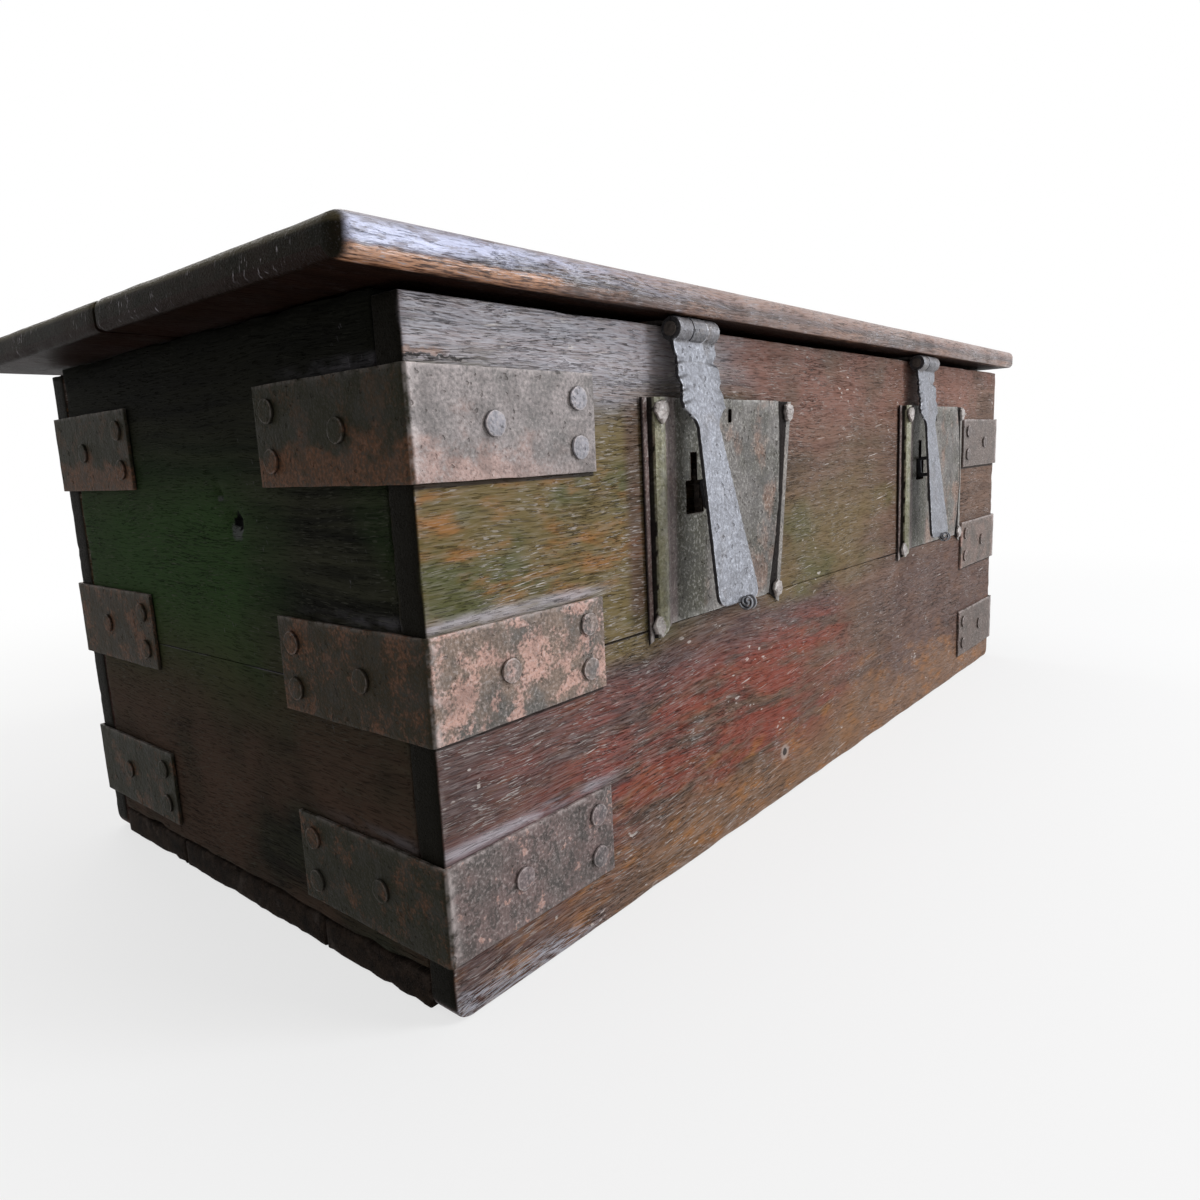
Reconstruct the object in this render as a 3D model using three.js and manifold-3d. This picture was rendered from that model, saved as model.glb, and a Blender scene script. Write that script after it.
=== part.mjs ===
// An iron-bound boarded chest with two hasp locks.
// Millimetres, +X along the front from left to right, +Y from front to back, +Z up.
// The pieces are drawn from the front left bottom corner of the boards, and the last lines
// move the whole chest so that the origin is under the middle of its overall footprint.

import * as THREE from "three";
import { mergeVertices } from "three/addons/utils/BufferGeometryUtils.js";
import Module from "manifold-3d";

const wasm = await Module();
wasm.setup();

// The boarded box
const chestLength = 1078;
const chestDepth = 500;
const sideHeight = 430;
const wallThickness = 24;
const bottomThickness = 24;
const rimDrop = 4.7; // the front and back boards stop this far below the side boards
const frontUpperBoard = 221.3; // width of the upper board of the front and of the back
const sideUpperBoard = 232;
const firstBottomBoard = 116; // width of the bottom board next to the front
const secondBottomShare = 0.64; // of the width that the first board leaves
const boardArris = 1.6;
const wornCornerRadius = 14; // the front and back boards' bottom corners are worn round
const fitGap = 0.3; // between pieces that lie on each other

// The lid
const lidThickness = 23;
const lidFrontOverhang = 23;
const lidLeftOverhang = 49;
const lidRightOverhang = 8;
const lidBackOverhang = 45;
const lidCornerRadius = 11;
const lidTopArris = 9;
const lidBottomArris = 5;
const lidFrontBoardShare = 0.5;

// The corner straps, three to a corner
const strapThickness = 3;
const strapWidth = 65;
const strapLeg = 151;
const strapBendRadius = 3.5;
const strapLowShares = { left: [0.091, 0.408, 0.752], right: [0.066, 0.358, 0.683] }; // of the side height
const strapInnerNail = 60; // from the corner
const strapNailEdge = 17; // from the end and from the long edges
const nailHeadRadius = 8;
const nailHeadHeight = 2.4;

// The barrel hinges of the hasps and of the lid
const knuckleRadius = 9;
const pinRadius = 3.2;
const pinClearance = 0.1;
const barrelLength = 52;
const knuckleGap = 0.4;
const pinHeadRadius = 5;
const pinHeadLength = 1.4;
const haspStandoff = 2.75; // from the front boards to the hasps' knuckles

// The long straps under the lid and the leaves behind the chest
const lidStrapThickness = 3;
const lidStrapWidth = 42;
const lidStrapNails = 5;
const backLeafLength = 92;
const backLeafTopNail = 20;
const backLeafLowNail = 72;
const backLeafNailSpread = 26;
const backLeafCorner = 9;

// The hasps
const haspLength = 203;
const haspThickness = 3.5;
const haspLean = { left: 10.5, right: 6 }; // degrees outward from plumb, as the barrels hold them
const haspHeadHalf = 27.5;
const haspNotchDepth = 3;
const haspHeadLength = 58;
const haspWaistHalf = 14;
const haspWaistDrop = 72; // below the hinge axis
const haspFootHalf = 28;
const haspFootRadius = 9;
const tongueHalf = 3.2;
const tongueOffset = 3.4; // to the right of the hasp's middle
const curlRadius = 7;
const curlHoleRadius = 1.9;
const curlTurn = 318; // degrees
const stapleDrop = 118; // from the hinge axis to the middle of the staple
const stapleOffset = 10; // to the right of the hasp's middle
const stapleHeight = 24;
const stapleReach = 20.5;
const stapleBar = 4.5;

// The lock plates
const leftLockMargin = 203; // from the chest's left end to the left plate
const rightLockMargin = 158; // from the right plate to the chest's right end
const plateWidth = 227;
const plateTopDrop = 47; // from the hinge axis to the plate's top
const plateHeight = 168;
const plateEarDrop = 12;
const plateEarWidth = 24;
const plateDrawnIn = { left: 25, right: 0 }; // the right edge runs in this much at the bottom
const plateSheet = 2;
const plateRim = 7;
const plateRimRise = 1.4;
const plateGroove = 2.5;
const plateWallRun = 1.4;
const plateBead = 11;
const plateBeadRise = 7.2;
const plateBeadSlope = 15;
const plateHollowRise = 3.3;
const plateHollowWidth = 92;
const plateFarRise = 7.7;
const plateFarWidth = 13;
const plateFlange = 17;
const plateHighNailRadius = 9.5;
const plateLowNailRadius = 8;
const plateNailHeight = 4;
const plateHighNailAcross = 14; // from the left edge
const plateLowNailAcross = 10;
const plateNailDrop = 9; // below the plate's top
const ventWidth = 4;
const ventHeight = 10;
const ventOffset = 64; // from the hasp's middle
const ventDrop = 8; // below the plate's top

// The slot for the staple, the keyhole and the mechanism
const haspOffset = 52; // from the plate's left edge to the hasp's middle
const slotWidth = 23;
const slotHeight = 24.5;
const slotBelowStaple = 3.5;
const slotNeckWidth = 8;
const slotNeckHeight = 21;
const keyholeOffset = 43; // from the hasp's middle
const keyholeRadius = 6;
const keyholeWidth = 6.5;
const keyholeDrop = 20;
const keyholeBelowBolt = 18.5; // from the bolt's underside to the middle of the round
const recessDepth = 15.5;
const recessBefore = 8;
const recessAfter = 112;
const recessBelowKeyhole = 23;
const recessAboveSlot = 3;
const boltHeight = 11;
const boltThickness = 4.5;
const boltSetback = 0.8; // from the face of the boards
const boltLength = 82;
const boltStart = 24; // from the hasp's middle to the drawn-back bolt
const boltTravel = 20;
const boltClearance = 0.3;
const boltTalonWidth = 12;
const boltTalonDepth = 4;
const boltNotchDepth = 1.5;
const keeperStart = 27;
const keeperLength = 50;
const keeperSheet = 2;
const keeperBelowKeyhole = 5;
const keeperAboveBolt = 11.5;
const springThickness = 1.2;
const springBreadth = 5;
const springLength = 26;

// One overrun lets every cut pass clear through what it cuts.
const cutOverrun = 5;
const mergeDistance = 0.001;
const arcSteps = 6;
const roundSegments = 20;
const nailSegments = 8;

// Heights and places that follow from the sizes above
const rimHeight = sideHeight - rimDrop;
const frontJointHeight = rimHeight - frontUpperBoard;
const sideJointHeight = sideHeight - sideUpperBoard;
const lidUnderside = sideHeight + fitGap;
const axisHeight = sideHeight - knuckleRadius;
const haspAxisY = -(knuckleRadius + haspStandoff);
const lidAxisY = chestDepth + fitGap + knuckleRadius;
const plateTop = axisHeight - plateTopDrop;
const plateBottom = plateTop - plateHeight;
const boltMiddle = axisHeight - stapleDrop; // the bolt passes through the middle of the staple
const boltLow = boltMiddle - boltHeight / 2;
const boltTop = boltMiddle + boltHeight / 2;
const slotBottom = boltMiddle - stapleHeight / 2 - slotBelowStaple;
const slotTop = slotBottom + slotHeight + slotNeckHeight;
const keyholeMiddle = boltLow - keyholeBelowBolt;
const keyholeBottom = keyholeMiddle - keyholeDrop;
const recessBottom = keyholeBottom - recessBelowKeyhole;
const recessTop = slotTop + recessAboveSlot;
const keeperBottom = keyholeBottom - keeperBelowKeyhole;
const keeperTop = boltTop + keeperAboveBolt;
const middleKnuckle = barrelLength / 3;
const lockStarts = {
  left: leftLockMargin,
  right: chestLength - rightLockMargin - plateWidth,
};

const X = new THREE.Vector3(1, 0, 0);
const Y = new THREE.Vector3(0, 1, 0);
const Z = new THREE.Vector3(0, 0, 1);
const BACKWARD = new THREE.Vector3(0, -1, 0);

// A closed three.js geometry as a solid that can be joined and cut
function solidOf(geometry, place = new THREE.Matrix4()) {
  const moved = geometry.clone().applyMatrix4(place);
  moved.deleteAttribute("normal");
  moved.deleteAttribute("uv");
  const merged = mergeVertices(moved, mergeDistance);
  const mesh = new wasm.Mesh({
    numProp: 3,
    vertProperties: merged.attributes.position.array,
    triVerts: new Uint32Array(merged.index.array),
  });
  return new wasm.Manifold(mesh);
}

function joined(solids) {
  return solids.reduce((whole, next) => whole.add(next));
}

function block(x0, x1, y0, y1, z0, z1) {
  const box = new THREE.BoxGeometry(x1 - x0, y1 - y0, z1 - z0);
  box.translate((x0 + x1) / 2, (y0 + y1) / 2, (z0 + z1) / 2);
  return solidOf(box);
}

function shapeOf(points) {
  return new THREE.Shape(points.map(([a, b]) => new THREE.Vector2(a, b)));
}

// A shape drawn in Y and Z, extruded along X
function alongX(shape, start, length) {
  const place = new THREE.Matrix4().makeBasis(Y, Z, X).setPosition(start, 0, 0);
  const settings = { depth: length, bevelEnabled: false, curveSegments: arcSteps };
  return solidOf(new THREE.ExtrudeGeometry(shape, settings), place);
}

// A shape drawn in X and Z as the front shows it, extruded forward from its back
function forward(shape, back, length) {
  const place = new THREE.Matrix4().makeBasis(X, Z, BACKWARD).setPosition(0, back, 0);
  const settings = { depth: length, bevelEnabled: false, curveSegments: arcSteps };
  return solidOf(new THREE.ExtrudeGeometry(shape, settings), place);
}

// A shape drawn in X and Y, extruded up
function upward(shape, low, height) {
  const place = new THREE.Matrix4().makeTranslation(0, 0, low);
  const settings = { depth: height, bevelEnabled: false, curveSegments: arcSteps };
  return solidOf(new THREE.ExtrudeGeometry(shape, settings), place);
}

// A rectangle whose four corners are broken by a small arris
function brokenRectangle(a0, a1, b0, b1) {
  const c = boardArris;
  return shapeOf([
    [a0 + c, b0],
    [a1 - c, b0],
    [a1, b0 + c],
    [a1, b1 - c],
    [a1 - c, b1],
    [a0 + c, b1],
    [a0, b1 - c],
    [a0, b0 + c],
  ]);
}

function cylinderAlongX(radius, start, length, y, z) {
  const rod = new THREE.CylinderGeometry(radius, radius, length, roundSegments);
  rod.rotateZ(Math.PI / 2);
  rod.translate(start + length / 2, y, z);
  return solidOf(rod);
}

// A forged nail head whose flat side lies at a point and whose crown faces along a direction
function nailHead(x, y, z, direction, radius = nailHeadRadius, height = nailHeadHeight) {
  const rimShare = 0.35;
  const crownShare = 0.62;
  const profile = [
    new THREE.Vector2(0, -strapThickness / 2),
    new THREE.Vector2(radius, -strapThickness / 2),
    new THREE.Vector2(radius, height * rimShare),
    new THREE.Vector2(radius * crownShare, height),
    new THREE.Vector2(0, height),
  ];
  const turn = new THREE.Quaternion().setFromUnitVectors(Y, direction);
  const place = new THREE.Matrix4().makeRotationFromQuaternion(turn).setPosition(x, y, z);
  return solidOf(new THREE.LatheGeometry(profile, nailSegments), place);
}

// A closed body lofted through rings of points that all turn the same way
function lofted(rings) {
  const count = rings[0].length;
  const positions = rings.flat().flatMap((point) => point.toArray());
  const indices = [];
  for (let ring = 0; ring + 1 < rings.length; ring += 1) {
    for (let step = 0; step < count; step += 1) {
      const a = ring * count + step;
      const b = ring * count + ((step + 1) % count);
      indices.push(a, b, b + count, a, b + count, a + count);
    }
  }
  const top = (rings.length - 1) * count;
  for (let step = 1; step + 1 < count; step += 1) {
    indices.push(0, step + 1, step);
    indices.push(top, top + step, top + step + 1);
  }
  const geometry = new THREE.BufferGeometry();
  geometry.setAttribute("position", new THREE.Float32BufferAttribute(positions, 3));
  geometry.setIndex(indices);
  return solidOf(geometry);
}

function finish(colour, roughness, metalness) {
  return new THREE.MeshStandardMaterial({ color: colour, roughness, metalness });
}

const lidWood = () => finish(0x3b2a20, 0.4, 0);
const upperWood = () => finish(0x45392a, 0.55, 0);
const lowerWood = () => finish(0x56382a, 0.55, 0);
const endWood = () => finish(0x2b281d, 0.6, 0);
const strapIron = () => finish(0x6f544a, 0.55, 0.6);
const plateIron = () => finish(0x6c6558, 0.55, 0.7);
const haspIron = () => finish(0x9a9a9d, 0.5, 0.85);
const innerIron = () => finish(0x55504b, 0.6, 0.8);

function piece(group, name, solid, material) {
  const { vertProperties, triVerts } = solid.getMesh();
  const geometry = new THREE.BufferGeometry();
  geometry.setAttribute("position", new THREE.BufferAttribute(vertProperties, 3));
  geometry.setIndex(new THREE.BufferAttribute(triVerts, 1));
  const flat = geometry.toNonIndexed();
  flat.computeVertexNormals();
  const mesh = new THREE.Mesh(flat, material);
  mesh.name = name;
  group.add(mesh);
}

// The front and back boards run past the ends of the side boards, so their ends show on the sides.
function wallOutline(low, high) {
  const shape = new THREE.Shape();
  const r = low > 0 ? boardArris : wornCornerRadius;
  shape.moveTo(r, low);
  shape.lineTo(chestLength - r, low);
  shape.absarc(chestLength - r, low + r, r, -Math.PI / 2, 0);
  shape.lineTo(chestLength, high);
  shape.lineTo(0, high);
  shape.lineTo(0, low + r);
  shape.absarc(r, low + r, r, Math.PI, Math.PI * 1.5);
  return shape;
}

function wallBoard(y0, low, high) {
  const profile = brokenRectangle(y0, y0 + wallThickness, low, high);
  const plank = alongX(profile, 0, chestLength);
  return plank.intersect(forward(wallOutline(low, high), y0 + wallThickness, wallThickness));
}

// A recess in the outer face behind each lock plate holds the staple, the bolt and its keeper.
function lockRecess(lockStart) {
  const middle = lockStart + haspOffset;
  return block(
    middle - recessBefore,
    middle + recessAfter,
    -cutOverrun,
    recessDepth,
    recessBottom,
    recessTop,
  );
}

function wallBoards(group) {
  const recesses = joined(Object.values(lockStarts).map(lockRecess));
  const faces = { front: 0, back: chestDepth - wallThickness };
  for (const [face, y0] of Object.entries(faces)) {
    const upper = wallBoard(y0, frontJointHeight + fitGap, rimHeight).subtract(recesses);
    const lower = wallBoard(y0, 0, frontJointHeight).subtract(recesses);
    piece(group, `${face}_board_upper`, upper, upperWood());
    piece(group, `${face}_board_lower`, lower, lowerWood());
  }
}

function sideBoards(group) {
  const y0 = wallThickness + fitGap;
  const y1 = chestDepth - wallThickness - fitGap;
  const starts = { left: 0, right: chestLength - wallThickness };
  for (const [side, x0] of Object.entries(starts)) {
    const low = bottomThickness + fitGap;
    const lower = brokenRectangle(x0, x0 + wallThickness, low, sideJointHeight);
    const upper = brokenRectangle(x0, x0 + wallThickness, sideJointHeight + fitGap, sideHeight);
    piece(group, `${side}_side_board_lower`, forward(lower, y1, y1 - y0), endWood());
    piece(group, `${side}_side_board_upper`, forward(upper, y1, y1 - y0), endWood());
  }
}

// The bottom boards run lengthways under the side boards, between the front and back boards.
function bottomBoards(group) {
  const inner = chestDepth - 2 * wallThickness - 2 * fitGap;
  const rest = inner - firstBottomBoard - 2 * fitGap;
  const widths = [firstBottomBoard, rest * secondBottomShare, rest * (1 - secondBottomShare)];
  let y = wallThickness + fitGap;
  widths.forEach((width, index) => {
    const profile = brokenRectangle(y, y + width, 0, bottomThickness);
    piece(group, `bottom_board_${index + 1}`, alongX(profile, 0, chestLength), lowerWood());
    y += width + fitGap;
  });
}

// One ring of the lid's rounded outline, drawn in by an inset
function lidRing(inset, height) {
  const x0 = -lidLeftOverhang + inset;
  const x1 = chestLength + lidRightOverhang - inset;
  const y0 = -lidFrontOverhang + inset;
  const y1 = chestDepth + lidBackOverhang - inset;
  const r = lidCornerRadius - inset * (lidCornerRadius / (lidCornerRadius + lidTopArris));
  const corners = [
    [x1 - r, y0 + r, -Math.PI / 2],
    [x1 - r, y1 - r, 0],
    [x0 + r, y1 - r, Math.PI / 2],
    [x0 + r, y0 + r, Math.PI],
  ];
  return corners.flatMap(([cx, cy, start]) =>
    Array.from({ length: arcSteps + 1 }, (_, step) => {
      const angle = start + (Math.PI / 2) * (step / arcSteps);
      return new THREE.Vector3(cx + r * Math.cos(angle), cy + r * Math.sin(angle), height);
    }),
  );
}

// The lid's edge is rounded more above than below, as hands and cloths wear it.
function lidSlab() {
  const rings = [];
  for (let step = 0; step <= arcSteps; step += 1) {
    const angle = (Math.PI / 2) * (step / arcSteps);
    const inset = lidBottomArris * (1 - Math.sin(angle));
    rings.push(lidRing(inset, lidUnderside + lidBottomArris * (1 - Math.cos(angle))));
  }
  const top = lidUnderside + lidThickness;
  for (let step = 0; step <= arcSteps; step += 1) {
    const angle = (Math.PI / 2) * (step / arcSteps);
    const inset = lidTopArris * (1 - Math.cos(angle));
    rings.push(lidRing(inset, top - lidTopArris * (1 - Math.sin(angle))));
  }
  return lofted(rings);
}

function lidBoards(group) {
  const slab = lidSlab();
  const x0 = -lidLeftOverhang - cutOverrun;
  const x1 = chestLength + lidRightOverhang + cutOverrun;
  const front = -lidFrontOverhang;
  const back = chestDepth + lidBackOverhang;
  const joint = front + (back - front) * lidFrontBoardShare;
  const z0 = lidUnderside - cutOverrun;
  const z1 = lidUnderside + lidThickness + cutOverrun;
  const frontCut = block(x0, x1, front - cutOverrun, joint - fitGap / 2, z0, z1);
  const backCut = block(x0, x1, joint + fitGap / 2, back + cutOverrun, z0, z1);
  piece(group, "lid_board_front", slab.intersect(frontCut), lidWood());
  piece(group, "lid_board_back", slab.intersect(backCut), lidWood());
}

// One strap bent round a corner: sx and sy point from the corner along its two legs.
function cornerStrap(cornerX, cornerY, sx, sy, low) {
  const inner = fitGap;
  const outer = fitGap + strapThickness;
  const r = strapBendRadius;
  const shape = new THREE.Shape();
  const at = (a, b) => [cornerX + sx * a, cornerY + sy * b];
  shape.moveTo(...at(-outer + r, -outer));
  shape.lineTo(...at(strapLeg, -outer));
  shape.lineTo(...at(strapLeg, -inner));
  shape.lineTo(...at(-inner, -inner));
  shape.lineTo(...at(-inner, strapLeg));
  shape.lineTo(...at(-outer, strapLeg));
  shape.lineTo(...at(-outer, -outer + r));
  shape.quadraticCurveTo(...at(-outer, -outer), ...at(-outer + r, -outer));
  const parts = [upward(shape, low, strapWidth)];
  const faceX = cornerX - sx * outer;
  const faceY = cornerY - sy * outer;
  const nails = [
    [strapInnerNail, strapWidth / 2],
    [strapLeg - strapNailEdge, strapNailEdge],
    [strapLeg - strapNailEdge, strapWidth - strapNailEdge],
  ];
  const outX = new THREE.Vector3(-sx, 0, 0);
  const outY = new THREE.Vector3(0, -sy, 0);
  for (const [along, up] of nails) {
    parts.push(nailHead(cornerX + sx * along, faceY, low + up, outY));
    parts.push(nailHead(faceX, cornerY + sy * along, low + up, outX));
  }
  return joined(parts);
}

function cornerStraps(group) {
  const ends = { left: [0, 1], right: [chestLength, -1] };
  const faces = { front: [0, 1], back: [chestDepth, -1] };
  const levels = ["low", "middle", "high"];
  for (const [end, [x, sx]] of Object.entries(ends)) {
    for (const [face, [y, sy]] of Object.entries(faces)) {
      levels.forEach((level, index) => {
        const low = sideHeight * strapLowShares[end][index];
        const strap = cornerStrap(x, y, sx, sy, low);
        piece(group, `corner_strap_${face}_${end}_${level}`, strap, strapIron());
      });
    }
  }
}

// Where the columns of the lock plate stand from its left edge, and how proud of the boards
function plateColumns() {
  const flat = plateSheet + fitGap;
  const beadStart = plateRim + plateGroove;
  const beadTop = beadStart + plateWallRun;
  const hollowStart = beadTop + plateBead + plateBeadSlope;
  const hollowEnd = hollowStart + plateHollowWidth;
  const farEnd = plateWidth - plateFlange;
  const crownShare = 0.5;
  const shoulderShare = 0.82;
  const slopeShare = 0.45;
  return [
    [0, flat],
    [plateRim * crownShare, flat + plateRimRise],
    [plateRim, flat],
    [beadStart, flat],
    [beadTop, flat + plateBeadRise * shoulderShare],
    [beadTop + plateBead * crownShare, flat + plateBeadRise],
    [beadTop + plateBead, flat + plateBeadRise * shoulderShare],
    [beadTop + plateBead + plateBeadSlope * slopeShare, flat + plateBeadRise * slopeShare],
    [hollowStart, flat + plateHollowRise],
    [hollowEnd, flat + plateHollowRise],
    [farEnd - plateFarWidth, flat + plateFarRise * shoulderShare],
    [farEnd - plateFarWidth * crownShare, flat + plateFarRise],
    [farEnd - plateWallRun, flat + plateFarRise],
    [farEnd, flat],
    [plateWidth, flat],
  ];
}

// The far side of the plate bulges most at mid height and dies out towards its top and bottom.
function plateRise(across, rise, upShare) {
  const flat = plateSheet + fitGap;
  const farZone = across > plateWidth - plateFlange - plateFarWidth - mergeDistance;
  const leastShare = 0.3;
  const bulge = leastShare + (1 - leastShare) * Math.sin(Math.PI * upShare);
  return farZone ? flat + (rise - flat) * bulge : rise;
}

// The bottom edge is drawn down into an ear at each corner, where the nails are.
function plateLowEdge(across) {
  const fromEdge = Math.min(across, plateWidth - across);
  const share = Math.max(0, 1 - fromEdge / plateEarWidth);
  return plateBottom - plateEarDrop * share;
}

function plateSide(across, height, drawnIn) {
  const downShare = (plateTop - height) / (plateTop - plateBottom);
  return across - drawnIn * downShare * (across / plateWidth);
}

// The hammered sheet as two height fields, front and back, joined round the edge
function dishedSheet(start, drawnIn) {
  const columns = plateColumns();
  const rows = 8;
  const front = [];
  const back = [];
  for (const [across, rise] of columns) {
    for (let row = 0; row <= rows; row += 1) {
      const low = plateLowEdge(across);
      const height = low + (plateTop - low) * (row / rows);
      const proud = plateRise(across, rise, row / rows);
      const x = start + plateSide(across, height, drawnIn);
      front.push(x, -proud, height);
      back.push(x, -proud + plateSheet, height);
    }
  }
  const stride = rows + 1;
  const offset = columns.length * stride;
  const indices = [];
  const quad = (a, b, c, d) => indices.push(a, b, c, a, c, d);
  for (let column = 0; column + 1 < columns.length; column += 1) {
    for (let row = 0; row < rows; row += 1) {
      const a = column * stride + row;
      const b = a + stride;
      quad(a, b, b + 1, a + 1);
      quad(a + offset, a + 1 + offset, b + 1 + offset, b + offset);
    }
    const low = column * stride;
    const high = low + rows;
    quad(low, low + offset, low + stride + offset, low + stride);
    quad(high, high + stride, high + stride + offset, high + offset);
  }
  const last = (columns.length - 1) * stride;
  for (let row = 0; row < rows; row += 1) {
    quad(row, row + 1, row + 1 + offset, row + offset);
    quad(last + row, last + row + offset, last + row + 1 + offset, last + row + 1);
  }
  const geometry = new THREE.BufferGeometry();
  geometry.setAttribute("position", new THREE.Float32BufferAttribute([...front, ...back], 3));
  geometry.setIndex(indices);
  return solidOf(geometry);
}

// The staple's slot is wide below, with a narrow neck above.
function slotCut(haspMiddle) {
  const middle = haspMiddle + stapleOffset;
  const halfWide = slotWidth / 2;
  const halfNeck = slotNeckWidth / 2;
  const shoulder = slotBottom + slotHeight;
  const shape = shapeOf([
    [middle - halfWide, slotBottom],
    [middle + halfWide, slotBottom],
    [middle + halfWide, shoulder],
    [middle + halfNeck, shoulder],
    [middle + halfNeck, slotTop],
    [middle - halfNeck, slotTop],
    [middle - halfNeck, shoulder],
    [middle - halfWide, shoulder],
  ]);
  return forward(shape, 0, plateReach());
}

function plateReach() {
  return plateSheet + plateBeadRise + plateFarRise + cutOverrun;
}

// A round hole over a straight slot
function keyholeCut(middle) {
  const x = middle + keyholeOffset;
  const half = keyholeWidth / 2;
  const meet = Math.asin(half / keyholeRadius);
  const shape = new THREE.Shape();
  shape.moveTo(x - half, keyholeBottom);
  shape.lineTo(x + half, keyholeBottom);
  shape.absarc(x, keyholeMiddle, keyholeRadius, -Math.PI / 2 + meet, Math.PI * 1.5 - meet);
  return forward(shape, 0, plateReach());
}

function ventCut(middle) {
  const x = middle + ventOffset;
  const high = plateTop - ventDrop;
  const half = ventWidth / 2;
  return block(x - half, x + half, -plateReach(), 0, high - ventHeight, high);
}

function plateNails(start, drawnIn) {
  const flat = plateSheet + fitGap;
  const rightX = plateWidth - plateFlange / 2;
  const highZ = plateTop - plateNailDrop;
  const places = [
    [plateHighNailAcross, highZ, flat + plateBeadRise, plateHighNailRadius],
    [plateLowNailAcross, plateBottom, flat + plateRimRise, plateLowNailRadius],
    [rightX, highZ, flat, plateHighNailRadius],
    [rightX, plateBottom, flat, plateLowNailRadius],
  ];
  return places.map(([across, z, proud, radius]) => {
    const x = start + plateSide(across, z, drawnIn);
    const head = nailHead(x, -proud, z, BACKWARD, radius, plateNailHeight);
    const shank = new THREE.CylinderGeometry(pinRadius, pinRadius, proud - fitGap, nailSegments);
    shank.translate(x, -(proud + fitGap) / 2, z);
    return head.add(solidOf(shank));
  });
}

function lockPlate(start, drawnIn) {
  const middle = start + haspOffset;
  const plate = joined([dishedSheet(start, drawnIn), ...plateNails(start, drawnIn)]);
  return plate.subtract(slotCut(middle)).subtract(keyholeCut(middle)).subtract(ventCut(middle));
}

// How far behind the boards' face the mechanism's front lies: it rides on the back of the plate.
const mechanismFront = -(plateHollowRise + fitGap) + fitGap;
const keeperWeb = boltSetback + boltThickness + boltClearance;

function lockBolt(middle) {
  const x0 = middle + boltStart;
  const y0 = boltSetback;
  const bar = block(x0, x0 + boltLength, y0, y0 + boltThickness, boltLow, boltTop);
  const y1 = y0 + boltThickness + cutOverrun;
  const talonX = middle + keyholeOffset - boltTalonWidth / 2;
  const talon = block(
    talonX,
    talonX + boltTalonWidth,
    y0 - cutOverrun,
    y1,
    boltLow - cutOverrun,
    boltLow + boltTalonDepth,
  );
  const notches = [0, boltTravel].map((shift) => {
    const x = middle + keyholeOffset + shift;
    const notch = shapeOf([
      [x - 2 * boltNotchDepth, boltTop + cutOverrun],
      [x - 2 * boltNotchDepth, boltTop],
      [x, boltTop - boltNotchDepth],
      [x + 2 * boltNotchDepth, boltTop],
      [x + 2 * boltNotchDepth, boltTop + cutOverrun],
    ]);
    return forward(notch, y1, boltThickness + 2 * cutOverrun);
  });
  return bar.subtract(talon).subtract(joined(notches));
}

// The keeper is a shallow open tray behind the plate, with a window at each end for the bolt.
function lockKeeper(middle) {
  const x0 = middle + keeperStart;
  const x1 = x0 + keeperLength;
  const s = keeperSheet;
  const tray = block(x0, x1, mechanismFront, keeperWeb + s, keeperBottom, keeperTop);
  const front = mechanismFront - cutOverrun;
  const hollow = block(x0 + s, x1 - s, front, keeperWeb, keeperBottom + s, keeperTop - s);
  const windowFront = boltSetback - boltClearance;
  const low = boltLow - boltClearance;
  const windows = block(x0 - s, x1 + s, windowFront, keeperWeb, low, boltTop + boltClearance);
  return tray.subtract(hollow).subtract(windows);
}

// A bowed leaf spring presses on the bolt from the keeper's top and drops into its notches.
function lockSpring(middle) {
  const z0 = boltTop + fitGap;
  const rise = keeperTop - keeperSheet - fitGap - springThickness - z0;
  const x = middle + keyholeOffset;
  const half = springLength / 2;
  const shape = new THREE.Shape();
  shape.moveTo(x - half, z0 + rise);
  shape.quadraticCurveTo(x, z0 - rise, x + half, z0 + rise);
  shape.lineTo(x + half, z0 + rise + springThickness);
  shape.quadraticCurveTo(x, z0 - rise + springThickness, x - half, z0 + rise + springThickness);
  return forward(shape, keeperWeb - fitGap, springBreadth);
}

function locks(chest, bolts) {
  for (const [side, start] of Object.entries(lockStarts)) {
    const middle = start + haspOffset;
    piece(chest, `lock_plate_${side}`, lockPlate(start, plateDrawnIn[side]), plateIron());
    piece(chest, `lock_keeper_${side}`, lockKeeper(middle), innerIron());
    piece(chest, `lock_spring_${side}`, lockSpring(middle), innerIron());
    piece(bolts, `lock_bolt_${side}`, lockBolt(middle), innerIron());
  }
}

// The knuckles of a barrel round a pin along X, as rings of one length that start at given places
function knuckles(starts, length, y, z) {
  const bore = pinRadius + pinClearance;
  return starts.map((start) => {
    const ring = cylinderAlongX(knuckleRadius, start, length, y, z);
    return ring.subtract(cylinderAlongX(bore, start - cutOverrun, length + 2 * cutOverrun, y, z));
  });
}

function outerKnuckles(middle, y, z) {
  const length = middleKnuckle - knuckleGap / 2;
  const starts = [middle - barrelLength / 2, middle + barrelLength / 2 - length];
  return knuckles(starts, length, y, z);
}

function hingePin(middle, y, z) {
  const half = barrelLength / 2 + knuckleGap / 2;
  return joined([
    cylinderAlongX(pinRadius, middle - half, 2 * half, y, z),
    cylinderAlongX(pinHeadRadius, middle - half - pinHeadLength, pinHeadLength, y, z),
    cylinderAlongX(pinHeadRadius, middle + half, pinHeadLength, y, z),
  ]);
}

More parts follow.
